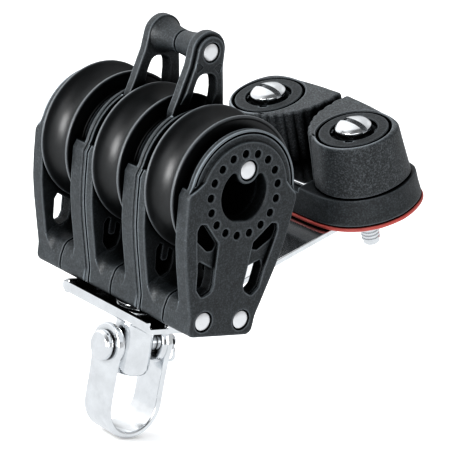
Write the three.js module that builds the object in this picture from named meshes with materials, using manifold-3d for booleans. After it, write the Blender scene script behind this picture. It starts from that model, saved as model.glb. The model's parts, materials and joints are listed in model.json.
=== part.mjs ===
// Small-boat ball-bearing triple block with swivel shackle, becket and cam cleat.
// Millimetres, +Z up. Origin: middle of the underside of the shackle bow, on the swivel axis.
// X runs along the sheave axle (right is +X), +Y (rear) points at the cam cleat, the becket is on top.
// Pieces are drawn with the axle as X axis; those of the cleat level, in the cleat's own frame.
import * as THREE from 'three';
import { mergeVertices } from 'three/addons/utils/BufferGeometryUtils.js';
import Module from 'manifold-3d';

const wasm = await Module();
wasm.setup();

// ---------------------------------------------------------------- driving dimensions
// Sheaves and bearings; heights are measured from the axle unless noted
const AXLE_Z = 57.2;            // axle height above the underside of the shackle bow
const PITCH = 17.1;             // sheave to sheave along the axle
const SHEAVE_R = 14.5;
const SHEAVE_HW = 4.45;         // half width over the flanges
const GROOVE_R = 10.8;          // groove bottom radius
const GROOVE_ARC_R = 3.75;      // radius of the groove's section
const RACE_OUT = 9.7;           // sheave bore, the outer ball track
const RACE_IN = 6.9;            // hub outside, the inner ball track
const HUB_BORE = 5.45;          // open hole along the axle
const BORE_BOSS_R = 2.75;       // boss around the top rivet, inside the open hole

// Cages
const CAGE_IN = 4.85;           // wall inner face from the cage's middle
const CAGE_OUT = 8.2;           // outer cheek face from its cage's middle
const CAGE_DIV = 8.5;           // dividing cheek face from its cage's middle
const SEAM = 0.05;              // half the seam between two half shells

// Rivets along X
const RIVET_R = 1.6;
const RIVET_HOLE = 1.72;
const RIVET_HEAD = 1.85;
const HEAD_SEAT = 2.02;
const LOW_RIVET_Y = 4.68;
const LOW_RIVET_Z = -25.26;
const TOP_RIVET = [0, 4.73];    // places as [y, z]
const FRONT_RIVET = [-LOW_RIVET_Y, LOW_RIVET_Z];
const REAR_RIVET = [LOW_RIVET_Y, LOW_RIVET_Z];
const THROUGH = [-10, 10];      // X span of a cutter that passes right through a cage

// Becket
const ARM_IN = 6.0;             // arm faces, distances from the middle
const ARM_OUT = 8.0;
const ARM_FACE = 8.75;          // raised face around the becket rivet
const BECKET_Z = 23.5;
const BECKET = [0, BECKET_Z];   // becket rivet, [y, z]

// Cam arm and cleat
const PLATE_T = 1.2;            // stainless plate of the cam arm
const FLOOR_Z = -31.6;          // underside of the saddle
const SADDLE_FRONT = -9.1;
const SADDLE_REAR = 10.6;
const ARM_HW = 13.9;            // half width of the saddle and the inclined strip
const ARM_TOP = -18.5;          // top of the inclined strip below the cam tops
const CLEAT_TILT = THREE.MathUtils.degToRad(24.55);
const CLEAT_POS = [0, 36.1, 9.6];   // middle of the cleat at the level of the cam tops
const CAM_X = 13.5;             // distance of each cam axis from the middle

// Swivel and shackle
const PIN_Z = -38.2;
const PIN_AXIS = [0, PIN_Z];    // [x, z]
const PIN_HOLE = 2.05;
const BOW_R = 6.9;              // outer radius of the bow
const BOW_T = 1.3;              // strap thickness
const RING_R = 2.2;             // split ring, mean radius
const RING_WIRE_R = 0.36;
const RING_Y = 8.95;            // cross hole in the pin that takes the ring
const RING_HANG = THREE.MathUtils.degToRad(80);   // how far it hangs below level

// ---------------------------------------------------------------- meshes and solids
// Welds the vertices, drops collapsed triangles and turns the faces outward.
function clean(geometry) {
  const bare = new THREE.BufferGeometry();
  bare.setAttribute('position', geometry.getAttribute('position').clone());
  if (geometry.index) bare.setIndex(geometry.index.clone());
  const welded = mergeVertices(bare, 1e-4);
  const index = welded.index.array;
  const position = welded.getAttribute('position');
  const corners = [0, 1, 2].map(() => new THREE.Vector3());
  const kept = [];
  let volume = 0;
  for (let i = 0; i < index.length; i += 3) {
    const triangle = [index[i], index[i + 1], index[i + 2]];
    if (new Set(triangle).size < 3) continue;
    corners.forEach((corner, k) => corner.fromBufferAttribute(position, triangle[k]));
    volume += corners[0].dot(corners[1].cross(corners[2]));
    kept.push(...triangle);
  }
  if (volume < 0) {
    for (let i = 0; i < kept.length; i += 3) {
      [kept[i + 1], kept[i + 2]] = [kept[i + 2], kept[i + 1]];
    }
  }
  const result = new THREE.BufferGeometry();
  result.setAttribute('position', position);
  result.setIndex(kept);
  return result;
}

// The solid operations below take geometries and solids alike.
function asSolid(part) {
  if (!part.isBufferGeometry) return part;
  const geometry = clean(part);
  return new wasm.Manifold(new wasm.Mesh({
    numProp: 3,
    vertProperties: Float32Array.from(geometry.getAttribute('position').array),
    triVerts: Uint32Array.from(geometry.index.array),
  }));
}

function asGeometry(part) {
  if (part.isBufferGeometry) return part;
  const mesh = part.getMesh();
  const geometry = new THREE.BufferGeometry();
  const positions = Float32Array.from(mesh.vertProperties);
  geometry.setAttribute('position', new THREE.BufferAttribute(positions, 3));
  geometry.setIndex(Array.from(mesh.triVerts));
  return clean(geometry);
}

const join = (...parts) => parts.map(asSolid).reduce((whole, part) => whole.add(part));
const cut = (part, ...tools) => (
  tools.reduce((rest, tool) => rest.subtract(asSolid(tool)), asSolid(part)));
const overlap = (one, other) => asSolid(one).intersect(asSolid(other));

// ---------------------------------------------------------------- outlines
const toVectors = (points) => points.map(([x, y]) => new THREE.Vector2(x, y));

function shapeOf(points, holes = []) {
  const shape = new THREE.Shape(toVectors(points));
  shape.holes = holes.map((hole) => new THREE.Path(toVectors(hole)));
  return shape;
}

// angles in degrees
const arc = (cx, cy, radius, from, to, steps) => Array.from({ length: steps + 1 }, (_, i) => {
  const angle = THREE.MathUtils.degToRad(from + (to - from) * i / steps);
  return [cx + radius * Math.cos(angle), cy + radius * Math.sin(angle)];
});

const flip = (points) => points.map(([x, y]) => [-x, y]);

// closes a half outline with its mirror image across the second axis
const mirrored = (half) => [
  ...half, ...flip(half.slice().reverse().filter(([x]) => Math.abs(x) > 1e-6)),
];

// anticlockwise outline moved outward
function grown(points, distance) {
  const count = points.length;
  const edge = (from, to) => {
    const [x, y] = [to[0] - from[0], to[1] - from[1]];
    const length = Math.hypot(x, y);
    return [x / length, y / length];
  };
  return points.map((point, i) => {
    const before = edge(points[(i + count - 1) % count], point);
    const after = edge(point, points[(i + 1) % count]);
    const normal = [before[1] + after[1], -before[0] - after[0]];
    const length = Math.hypot(...normal);
    const move = distance / Math.max(0.5, length / 2);
    return [point[0] + normal[0] / length * move, point[1] + normal[1] / length * move];
  });
}

// ---------------------------------------------------------------- primitives
// A span is [low, high] along an axis; this one is mirrored for side -1.
const span = (side, near, far) => (side > 0 ? [near, far] : [-far, -near]);
const middle = ([low, high]) => (low + high) / 2;

const extrude = (outline, [low, high], holes) => (
  new THREE.ExtrudeGeometry(shapeOf(outline, holes), { depth: high - low, bevelEnabled: false }));

function turnAxes(geometry, ...axes) {
  const vectors = axes.map((axis) => new THREE.Vector3(...axis));
  return geometry.applyMatrix4(new THREE.Matrix4().makeBasis(...vectors));
}

// outline as [y, z]
const prismX = (outline, xs, holes) => (
  turnAxes(extrude(outline, xs, holes), [0, 1, 0], [0, 0, 1], [1, 0, 0]).translate(xs[0], 0, 0));

// outline as [x, z]
const prismY = (outline, ys) => (
  turnAxes(extrude(outline, ys), [1, 0, 0], [0, 0, 1], [0, -1, 0]).translate(0, ys[1], 0));

// outline as [x, y]
const prismZ = (outline, zs, holes) => extrude(outline, zs, holes).translate(0, 0, zs[0]);

// prism along Z whose end at movedZ takes the outline `moved`, point for point
function taperedPrism(outline, moved, zs, movedZ) {
  const geometry = prismZ(outline, zs);
  const position = geometry.getAttribute('position');
  for (let i = 0; i < position.count; i++) {
    if (Math.abs(position.getZ(i) - movedZ) > 1) continue;
    const gaps = outline.map(([x, y]) => Math.hypot(x - position.getX(i), y - position.getY(i)));
    position.setXY(i, ...moved[gaps.indexOf(Math.min(...gaps))]);
  }
  return geometry;
}

const cylinder = (radius, [low, high], segments) => (
  new THREE.CylinderGeometry(radius, radius, high - low, segments));
const cylinderX = (radius, xs, [y, z], segments) => (
  cylinder(radius, xs, segments).rotateZ(-Math.PI / 2).translate(middle(xs), y, z));
const cylinderY = (radius, ys, [x, z], segments) => (
  cylinder(radius, ys, segments).translate(x, middle(ys), z));
const cylinderZ = (radius, zs, [x, y], segments) => (
  cylinder(radius, zs, segments).rotateX(Math.PI / 2).translate(x, y, middle(zs)));

const box = (xs, ys, zs) => (
  new THREE.BoxGeometry(...[xs, ys, zs].map(([low, high]) => high - low))
    .translate(middle(xs), middle(ys), middle(zs)));

// profile of [axial, radius] pairs turned about X or Z
function turned(profile, segments, axis) {
  const lathe = new THREE.LatheGeometry(toVectors(profile.map(([a, r]) => [r, a])), segments);
  return axis === 'x' ? lathe.rotateZ(-Math.PI / 2) : lathe.rotateX(Math.PI / 2);
}

// balls joined by a thin ring
function ballRing({ count, ballR, pitchR, ringIn, ringOut, ringHW, axis }) {
  const section = [
    [-ringHW, ringIn], [-ringHW, ringOut], [ringHW, ringOut], [ringHW, ringIn], [-ringHW, ringIn],
  ];
  const balls = Array.from({ length: count }, (_, i) => {
    const angle = 2 * Math.PI * i / count;
    const place = [pitchR * Math.cos(angle), pitchR * Math.sin(angle)];
    const centre = axis === 'x' ? [0, ...place] : [...place, 0];
    return new THREE.SphereGeometry(ballR, 6, 4).translate(...centre);
  });
  return join(turned(section, 16, axis), ...balls);
}

// ---------------------------------------------------------------- materials
const material = (settings) => () => new THREE.MeshStandardMaterial(settings);
const nylon = material({ color: 0x1c1d1f, roughness: 0.55, metalness: 0 });
const satin = material({ color: 0x151617, roughness: 0.35, metalness: 0 });
const steel = material({ color: 0xd5d8dc, roughness: 0.15, metalness: 1 });
const springSteel = material({ color: 0xa9adb2, roughness: 0.3, metalness: 1 });
const acetal = material({ color: 0xe9e7e0, roughness: 0.3, metalness: 0 });
const redPlastic = material({ color: 0xc0332c, roughness: 0.45, metalness: 0 });

// ---------------------------------------------------------------- groups
const root = new THREE.Group();
root.name = 'triple_cam_block';
const body = new THREE.Group();
body.position.z = AXLE_Z;
root.add(body);
const cleat = new THREE.Group();
cleat.position.set(...CLEAT_POS);
cleat.rotation.x = CLEAT_TILT;

function put(name, part, makeMaterial, parent = body, place = [0, 0, 0]) {
  const geometry = clean(asGeometry(part));
  geometry.computeVertexNormals();
  const mesh = new THREE.Mesh(geometry, makeMaterial());
  mesh.name = name;
  mesh.position.set(...place);
  parent.add(mesh);
}

// ---------------------------------------------------------------- cage half shells
const RIM_R = 12.6;             // cage top
const RIM_KEPT_R = 10.9;        // the rim is thinned outside this radius
const RIM_CUT = 1.1;            // taken off an outer cheek, or left of a dividing one

// half outlines as [y, z], from the bottom up
const cageOutline = mirrored([
  [0, -28.4], [6.2, -28.4], [7.4, -27.9], [8.0, -26.8], [8.15, -24.6], [9.15, -21.4],
  [10.35, -17.4], [11.7, -13.0], [12.7, -8.0], [13.42, -0.8], [12.6, 1.2],
  ...arc(0, 0, RIM_R, 11, 90, 7),
]);
const webOutline = mirrored([
  [0, -28.4], [6.2, -28.4], [7.4, -27.9], [8.0, -26.8], [8.1, -24.8], [7.8, -22.9],
  [6.8, -21.8], [4.5, -21.0], [0, -20.6],
]);
// slots through the wall as [y, z], on the +Y side
const upperSlot = [
  [9.2, -6.3], [8.2, -6.0], [4.4, -9.9], [4.9, -10.9], [6.2, -11.3], [9.5, -8.9], [9.8, -7.3],
];
const lowerSlot = [
  [7.6, -13.6], [8.1, -14.6], [7.6, -18.4], [6.1, -20.1], [4.3, -19.0], [3.9, -17.6],
  [4.1, -15.0],
];
const cageSlots = [upperSlot, flip(upperSlot), lowerSlot, flip(lowerSlot)];

// becket arm as [y, z], used for the pocket in the middle cage too
const armOutline = mirrored([
  ...arc(0, 0, 7.6, -90, 40, 8),
  [6.4, 11.3], [5.65, 14.1], [5.0, 17.1], [4.2, 20.5],
  ...arc(...BECKET, 4.0, 0, 90, 4),
]);

// the hole through the hub, narrowed at the top by the boss around the upper rivet
function hubBore() {
  const [low, high] = THROUGH;
  return cut(cylinderX(HUB_BORE, THROUGH, [0, 0], 20),
    cylinderX(BORE_BOSS_R, [low - 1, high + 1], TOP_RIVET, 10));
}

// a ring of shallow five-sided pits in an outer cheek
function cheekPits(xs) {
  const PITS = 17;
  const RING = 8.13;
  const FIRST = 0.173;          // radians from the top
  return Array.from({ length: PITS }, (_, i) => {
    const angle = FIRST - 2 * Math.PI * i / PITS;
    return cylinderX(0.85, xs, [-RING * Math.sin(angle), RING * Math.cos(angle)], 5);
  });
}

// side +1: wall on the +X side of its cage
function halfShell(side, { outer = false, pocket = false }) {
  const reach = outer ? CAGE_OUT : CAGE_DIV;
  const rivets = [TOP_RIVET, REAR_RIVET, FRONT_RIVET];
  const sunk = (depth) => span(side, reach - depth, reach + 1);
  const wall = prismX(cageOutline, span(side, CAGE_IN, reach), cageSlots);
  const web = prismX(webOutline, span(side, SEAM, CAGE_IN + 0.6));

  // the rim above the shoulders is thinner, to clear the rope;
  // on a dividing wall only a narrow rib is left
  const rimFace = outer ? CAGE_IN + RIM_CUT : reach - RIM_CUT;
  const rimCut = cut(box(span(side, CAGE_IN - 1, rimFace), [-15, 15], [0.4, 15]),
    cylinderX(RIM_KEPT_R, span(side, CAGE_IN - 2, rimFace + 1), [0, 0], 24));

  const tools = [
    rimCut, hubBore(), ...rivets.map((place) => cylinderX(RIVET_HOLE, THROUGH, place, 8)),
  ];
  if (outer) {
    tools.push(...rivets.map((place) => cylinderX(HEAD_SEAT, sunk(0.9), place, 12)));
    tools.push(...cheekPits(sunk(1.0)));
  } else {
    tools.push(box(sunk(0.45), [-7.6, 7.6], [-30, -21.6]));   // recess for the saddle's ear
  }
  if (pocket) {
    tools.push(prismX(grown(armOutline, 0.15), span(side, ARM_IN - 0.1, reach + 1)));
  }
  return cut(join(wall, web), ...tools);
}

for (const [name, side, x, features] of [
  ['right_outer', 1, PITCH, { outer: true }],
  ['right_inner', -1, PITCH, {}],
  ['middle_right', 1, 0, { pocket: true }],
  ['middle_left', -1, 0, { pocket: true }],
  ['left_inner', 1, -PITCH, {}],
  ['left_outer', -1, -PITCH, { outer: true }],
]) {
  put(`cage_${name}`, halfShell(side, features), nylon, body, [x, 0, 0]);
}

// ---------------------------------------------------------------- sheaves, hubs and balls
function sheave() {
  const groove = arc(0, GROOVE_R + GROOVE_ARC_R, GROOVE_ARC_R, 180, 360, 6).slice(1, -1);
  return turned([
    [-4.3, RACE_OUT], [-SHEAVE_HW, 10.1], [-SHEAVE_HW, 14.1], [-4.2, SHEAVE_R],
    ...groove,
    [4.2, SHEAVE_R], [SHEAVE_HW, 14.1], [SHEAVE_HW, 10.1], [4.3, RACE_OUT], [-4.3, RACE_OUT],
  ], 28, 'x');
}

function hub() {
  const halfWidth = CAGE_IN - 0.08;
  return cut(cylinderX(RACE_IN, [-halfWidth, halfWidth], [0, 0], 20),
    hubBore(), cylinderX(RIVET_HOLE, THROUGH, TOP_RIVET, 12));
}

const sheaveBalls = () => ballRing({
  count: 8, ballR: 1.28, pitchR: (RACE_IN + RACE_OUT) / 2,
  ringIn: 7.75, ringOut: 8.85, ringHW: 0.6, axis: 'x',
});

for (const [name, x] of [['right', PITCH], ['middle', 0], ['left', -PITCH]]) {
  put(`sheave_${name}`, sheave(), satin, body, [x, 0, 0]);
  put(`hub_${name}`, hub(), nylon, body, [x, 0, 0]);
  put(`ball_ring_${name}`, sheaveBalls(), acetal, body, [x, 0, 0]);
}

// ---------------------------------------------------------------- rivets
// reach: distance of the head faces from the middle
function rivet({ shankR, headR, headT, reach, place }) {
  return join(
    cylinderX(shankR, [0.2 - reach, reach - 0.2], place, 12),
    cylinderX(headR, span(-1, reach - headT, reach), place, 14),
    cylinderX(headR, span(1, reach - headT, reach), place, 14),
  );
}

for (const [name, place] of [['top', TOP_RIVET], ['front', FRONT_RIVET], ['rear', REAR_RIVET]]) {
  const reach = PITCH + CAGE_OUT - 0.05;
  const part = rivet({ shankR: RIVET_R, headR: RIVET_HEAD, headT: 0.75, reach, place });
  put(`rivet_${name}`, part, steel);
}

// ---------------------------------------------------------------- becket
function becketArm(side) {
  // half outlines as [y, z]
  const arch = mirrored([[2.8, 9.6], [2.8, 16.4], [2.2, 18.3], [1.1, 19.5], [0, 19.8]]);
  const faceOutline = mirrored([
    [0, 14.6], [4.3, 14.6], [4.1, 17.1], [3.3, 20.6], ...arc(...BECKET, 3.1, 0, 90, 3),
  ]);
  const spoolEnd = ARM_IN + 0.4;
  // half of the spool between the arms, as [x, radius]
  const spoolProfile = [
    [SEAM, 0], [SEAM, 2.45], [1.6, 2.5], [3.4, 2.8], [4.9, 3.15], [spoolEnd, 3.35], [spoolEnd, 0],
  ];
  const arm = join(
    prismX(armOutline, [ARM_IN, ARM_OUT]),
    prismX(faceOutline, [ARM_OUT - 0.3, ARM_FACE]),
    turned(spoolProfile, 20, 'x').translate(0, ...BECKET),
  );
  const right = cut(arm,
    prismX(arch, [ARM_IN - 1, ARM_FACE + 1]),
    cylinderX(1.32, THROUGH, BECKET, 12),
    cylinderX(1.95, [ARM_FACE - 0.7, ARM_FACE + 1], BECKET, 14),   // seat of the rivet head
    hubBore(),
    cylinderX(RIVET_HOLE, THROUGH, TOP_RIVET, 12));
  return asGeometry(right).scale(side, 1, 1);
}

put('becket_arm_right', becketArm(1), nylon);
put('becket_arm_left', becketArm(-1), nylon);
put('becket_rivet', rivet({
  shankR: 1.2, headR: 1.8, headT: 0.6, reach: ARM_FACE - 0.03, place: BECKET,
}), steel);

// ---------------------------------------------------------------- cam arm: one bent plate
function camArm() {
  const cleatMatrix = new THREE.Matrix4().makeRotationX(CLEAT_TILT).setPosition(...CLEAT_POS);
  const inclined = (geometry) => geometry.applyMatrix4(cleatMatrix);
  const sheet = [ARM_TOP - PLATE_T, ARM_TOP];
  const width = [-ARM_HW, ARM_HW];
  const padOutline = [...arc(CAM_X, 0, 7.4, -90, 90, 9), ...arc(-CAM_X, 0, 7.4, 90, 270, 9)];
  const rearY = SADDLE_REAR - PLATE_T;
  // as [y, z]
  const rearWall = [
    [rearY, FLOOR_Z], [SADDLE_REAR, FLOOR_Z + 0.9], [SADDLE_REAR, -22.6], [rearY, -23.0],
  ];
  const earOutline = [
    [2.2, FLOOR_Z + 0.4], [7.4, FLOOR_Z + 0.4], [7.4, -24.0], [6.2, -22.0],
    [-6.2, -22.0], [-7.4, -24.0], [-7.4, -28.1], [2.2, -28.1],
  ];
  // low turned-up side edge, longer on the left
  const sideTab = (side, frontY) => (
    box(span(side, ARM_HW - PLATE_T, ARM_HW), [frontY, 10.0], [FLOOR_Z, -28.8]));
  const plate = join(
    inclined(box(width, [-38.2, -4], sheet)),
    inclined(prismZ(padOutline, sheet)),
    prismX(rearWall, width),
    box(width, [SADDLE_FRONT, 9.9], [FLOOR_Z, FLOOR_Z + PLATE_T]),
    box(width, [SADDLE_FRONT, SADDLE_FRONT + PLATE_T], [FLOOR_Z, -29.0]),
    sideTab(1, -3.4),
    sideTab(-1, -8.5),
    ...[1, -1].map((side) => prismX(earOutline, span(side, 8.15, 8.95))),
  );
  return cut(plate,
    cylinderZ(2.75, [FLOOR_Z - 1, FLOOR_Z + 2], [0, 0], 20),   // swivel hole
    ...[REAR_RIVET, FRONT_RIVET].map((place) => cylinderX(RIVET_HOLE, THROUGH, place, 12)),
    ...[CAM_X, -CAM_X].map((x) => (
      inclined(cylinderZ(2.2, [sheet[0] - 2, sheet[1] + 2], [x, 0], 14)))));
}
put('cam_arm', camArm(), steel);

// ---------------------------------------------------------------- swivel
function swivelPost() {
  // as [z, radius]
  const profile = [
    [-44.2, 0], [-44.2, 2.9], [-43.1, 4.0], [-32.2, 4.0], [-32.2, 2.5], [-29.0, 2.5], [-29.0, 0],
  ];
  return cut(turned(profile, 24, 'z'), cylinderY(PIN_HOLE, [-6, 6], PIN_AXIS, 16));
}

function washer(radius, hole, [low, high]) {
  return cut(cylinderZ(radius, [low, high], [0, 0], 24),
    cylinderZ(hole, [low - 1, high + 1], [0, 0], 20));
}

put('swivel_post', swivelPost(), steel);
put('swivel_washer', washer(4.2, 2.65, [-32.1, -31.7]), acetal);
put('swivel_nut', washer(5.0, 2.6, [-30.3, -29.2]), steel);

// ---------------------------------------------------------------- shackle
function shackleBow() {
  const FACETS = 10;            // even: one facet lies flat underneath
  const TOP = -33;
  const centreZ = -AXLE_Z + BOW_R;
  const inner = BOW_R - BOW_T;
  const half = 90 / FACETS;     // half a facet, degrees
  const stretch = 1 / Math.cos(THREE.MathUtils.degToRad(half));   // puts the flats on the radius
  const bend = (radius, from, to) => arc(0, centreZ, radius * stretch, from, to, FACETS - 1);
  // U of the strap as [y, z]
  const strap = prismX([
    [-BOW_R, TOP], [-BOW_R, centreZ], ...bend(BOW_R, 180 + half, 360 - half),
    [BOW_R, centreZ], [BOW_R, TOP], [inner, TOP], [inner, centreZ],
    ...bend(inner, 360 - half, 180 + half), [-inner, centreZ], [-inner, TOP],
  ], [-5, 5]);
  // seen along Y, as [x, z]
  const silhouette = prismY([
    ...arc(...PIN_AXIS, 4.45, -20, 200, 12), [-4.0, -44.5], [-3.9, -58], [3.9, -58], [4.0, -44.5],
  ], [-9, 9]);
  const bosses = [1, -1].map((side) => (
    cylinderY(4.0, span(side, 4.75, BOW_R - 0.2), PIN_AXIS, 20)));
  return cut(join(overlap(strap, silhouette), ...bosses),
    cylinderY(PIN_HOLE, [-9, 9], PIN_AXIS, 16));
}

function shacklePin() {
  const pin = join(
    cylinderY(1.9, [-8.2, 7.5], PIN_AXIS, 16),
    cylinderY(1.45, [7.2, 10.2], PIN_AXIS, 12),
    new THREE.CylinderGeometry(3.1, 2.6, 0.6, 20).translate(0, -8.4, PIN_Z),   // head's bevel
    cylinderY(3.1, [-8.2, -7.0], PIN_AXIS, 20),
  );
  return cut(pin, cylinderX(0.85, [-3, 3], [RING_Y, PIN_Z], 10));
}

// laid level from its pin hole, then swung down about it
const splitRing = () => new THREE.TorusGeometry(RING_R, RING_WIRE_R, 6, 20)
  .translate(0, RING_R - 0.17, 0)
  .rotateX(-RING_HANG)
  .translate(0, RING_Y, PIN_Z);

put('shackle_bow', shackleBow(), steel);
put('shackle_pin', shacklePin(), steel);
put('split_ring', splitRing(), steel);

// ---------------------------------------------------------------- cleat base
body.add(cleat);
const BASE_TOP = -11.7;

// half outlines as [x, y], from -Y to +Y; the two match point for point
const plateHalf = [
  [0, -11.3], [9.5, -11.2], [13.0, -10.8], [15.8, -10.0], [18.1, -8.8], [20.0, -7.3],
  [21.6, -5.3], [22.8, -3.0], [23.4, -0.6], [23.6, 1.5], [23.2, 4.1], [22.2, 6.9],
  [20.9, 9.0], [19.5, 10.4], [17.7, 11.3], [14.8, 11.8], [0, 11.9],
];
const baseTopHalf = [
  [0, -9.9], [9.5, -9.8], [12.8, -9.6], [15.2, -9.0], [17.4, -7.9], [19.2, -6.5],
  [20.7, -4.7], [21.9, -2.5], [22.5, -0.3], [22.7, 1.5], [22.4, 3.9], [21.5, 6.5],
  [20.3, 8.6], [19.1, 9.8], [17.5, 10.6], [14.7, 10.9], [0, 11.0],
];

function cleatPlate() {
  const holes = [CAM_X, -CAM_X].map((x) => arc(x, 0, 2.4, 0, 330, 11));
  return prismZ(mirrored(plateHalf), [-18.25, -17.45], holes);
}

// foot a little inside the red plate, flanks leaning in to the top rim
function cleatBase() {
  const inset = (value) => value - 0.3 * Math.sign(value);
  const foot = mirrored(plateHalf.map((point) => point.map(inset)));
  return cut(taperedPrism(foot, mirrored(baseTopHalf), [-17.25, BASE_TOP], BASE_TOP),
    box([-4.9, 4.9], [-13, 13], [-12.7, -11]),   // channel between the cams
    ...[CAM_X, -CAM_X].map((x) => cylinderZ(2.25, [-18, -11], [x, 0], 14)));
}

put('cleat_plate', cleatPlate(), redPlastic, cleat);
put('cleat_base', cleatBase(), nylon, cleat);
put('wear_strip', box([-4.7, 4.7], [-8.1, 8.4], [-12.6, -11.8]), steel, cleat);

// ---------------------------------------------------------------- cams
const CAM_FOOT = -11.4;
const TEETH = 9;
const TEETH_FROM = -124;        // degrees
const TEETH_TO = -213;
const TOOTH_DEPTH = 0.45;

// toothed rope side, growing toward the nose: [degrees, radius]
const camRope = [[-118, 8.4], [-146.6, 9.75], [-165.4, 10.8], [-196, 13.3], [-215, 15.6]];
// plain back: [degrees, radius at the top, radius at the foot]
const camBack = [
  [92, 8.35, 9.5], [78, 8.4, 9.85], [62, 8.75, 10.25], [52, 9.1, 10.3], [42, 9.2, 9.85],
  [28, 8.95, 9.3], [14, 8.6, 8.85], [-2, 8.45, 8.55], [-22, 8.4, 8.45], [-44, 8.4, 8.45],
  [-66, 8.4, 8.5], [-84, 8.4, 8.65], [-100, 8.4, 8.9], [-116, 8.4, 9.25],
];

function ropeRadius(degrees) {
  const next = camRope.findIndex(([station]) => degrees >= station);
  const [from, fromR] = camRope[next - 1];
  const [to, toR] = camRope[next];
  return THREE.MathUtils.mapLinear(degrees, from, to, fromR, toR);
}

// right cam, clockwise from the back round to the nose; foot: 0 at the top, 1 at the foot
function camOutline(foot) {
  const polar = (degrees, radius) => arc(0, 0, radius, degrees, degrees, 1)[0];
  const back = camBack.map(([degrees, top, low]) => polar(degrees, top + (low - top) * foot));
  const toothPoint = (step, depth) => {
    const degrees = TEETH_FROM + (TEETH_TO - TEETH_FROM) * step / TEETH;
    const lean = foot * 0.9 * Math.max(0, 1 + (degrees + 120) / 45);
    return polar(degrees, ropeRadius(degrees) + lean - depth);
  };
  const teeth = Array.from({ length: TEETH }, (_, i) => [
    toothPoint(i, 0), toothPoint(i + 0.55, 0), toothPoint(i + 0.8, TOOTH_DEPTH),
  ]).flat();
  return [
    ...back, ...teeth,
    polar(-215, 15.55), polar(-217.5, 15.35),
    [-10.4, 9.25 + foot * 0.25], [-5.1, 8.95 + foot * 0.5],
  ];
}

function cam(side) {
  const right = cut(taperedPrism(camOutline(0), camOutline(1), [CAM_FOOT, 0], CAM_FOOT),
    cylinderZ(7.6, [-1.5, 1], [0, 0], 24),
    cylinderZ(6.7, [-12, -1], [0, 0], 20));
  return asGeometry(right).scale(side, 1, 1);
}

// profile as [z, radius]
const camHub = () => turned([
  [-11.5, 2.3], [-11.5, 4.2], [-1.25, 4.2], [-1.25, 7.2], [0, 7.2], [0, 4.8],
  [-1.1, 4.7], [-1.1, 2.3], [-11.5, 2.3],
], 20, 'z');

const camBalls = () => ballRing({
  count: 7, ballR: 1.13, pitchR: 5.45, ringIn: 5.05, ringOut: 5.85, ringHW: 0.5, axis: 'z',
});

class Coil extends THREE.Curve {
  constructor({ radius, low, high, turns }) {
    super();
    Object.assign(this, { radius, low, high, turns });
  }

  getPoint(t, target = new THREE.Vector3()) {
    const angle = 2 * Math.PI * this.turns * t;
    const z = this.low + (this.high - this.low) * t;
    return target.set(this.radius * Math.cos(angle), this.radius * Math.sin(angle), z);
  }
}

// four-sided wire
const camSpring = () => new THREE.ExtrudeGeometry(shapeOf(arc(0, 0, 0.4, 0, 270, 3)), {
  steps: 35,
  bevelEnabled: false,
  extrudePath: new Coil({ radius: 5.4, low: -10.7, high: -6.4, turns: 3.5 }),
});

function screw() {
  // as [z, radius]
  const head = [[-0.95, 0], [-0.95, 3.75], [0.7, 3.75], [1.4, 3.2], [1.8, 2.0], [1.9, 0]];
  const slot = box([-5, 5], [-0.6, 0.6], [0.5, 2.5]);
  return cut(join(turned(head, 20, 'z'), cylinderZ(1.95, [-26.3, -0.9], [0, 0], 12)), slot);
}

for (const [name, side] of [['right', 1], ['left', -1]]) {
  const place = [side * CAM_X, 0, 0];
  put(`cam_${name}`, cam(side), nylon, cleat, place);
  put(`cam_hub_${name}`, camHub(), nylon, cleat, place);
  put(`cam_balls_${name}`, camBalls(), acetal, cleat, [side * CAM_X, 0, -3.4]);
  put(`cam_spring_${name}`, camSpring(), springSteel, cleat, place);
  put(`screw_${name}`, screw(), steel, cleat, place);
}

export default root;
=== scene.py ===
"""Triple pulley block with a becket, a swivelling shackle and a cam cleat.

Sizes are in millimetres and are scaled to metres in emit(). The sheaves turn about X and stand
side by side along it; the becket is above them, the shackle below, and the cleat is out at +Y.
Most pieces are built about the middle sheave's centre. The cleat's pieces are built in a tilted
frame of their own, whose Z runs along the cam axes and whose zero is at the cams' top faces.
"""
import json
import math
import bpy
import numpy as np
from mathutils import Matrix, Vector

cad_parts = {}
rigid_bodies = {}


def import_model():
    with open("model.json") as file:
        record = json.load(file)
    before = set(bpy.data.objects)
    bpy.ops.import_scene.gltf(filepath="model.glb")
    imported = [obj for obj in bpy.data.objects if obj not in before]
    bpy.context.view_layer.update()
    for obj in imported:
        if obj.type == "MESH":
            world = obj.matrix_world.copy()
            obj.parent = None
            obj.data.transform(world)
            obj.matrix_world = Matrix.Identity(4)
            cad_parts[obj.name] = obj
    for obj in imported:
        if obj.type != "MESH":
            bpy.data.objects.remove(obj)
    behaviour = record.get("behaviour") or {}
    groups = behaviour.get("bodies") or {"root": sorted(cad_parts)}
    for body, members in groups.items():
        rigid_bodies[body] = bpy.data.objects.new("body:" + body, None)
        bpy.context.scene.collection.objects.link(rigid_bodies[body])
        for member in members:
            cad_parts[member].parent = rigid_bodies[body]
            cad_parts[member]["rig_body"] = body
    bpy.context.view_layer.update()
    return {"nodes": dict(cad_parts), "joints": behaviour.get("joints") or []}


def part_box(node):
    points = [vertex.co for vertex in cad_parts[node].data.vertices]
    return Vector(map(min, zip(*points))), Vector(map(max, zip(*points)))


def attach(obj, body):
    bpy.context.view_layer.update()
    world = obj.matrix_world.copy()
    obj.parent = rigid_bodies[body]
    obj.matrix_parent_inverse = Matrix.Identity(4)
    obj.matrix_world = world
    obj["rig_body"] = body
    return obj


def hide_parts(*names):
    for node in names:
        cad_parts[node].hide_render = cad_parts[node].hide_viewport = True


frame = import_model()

MM = 0.001
scene = bpy.context.scene
pi = math.pi


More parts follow.
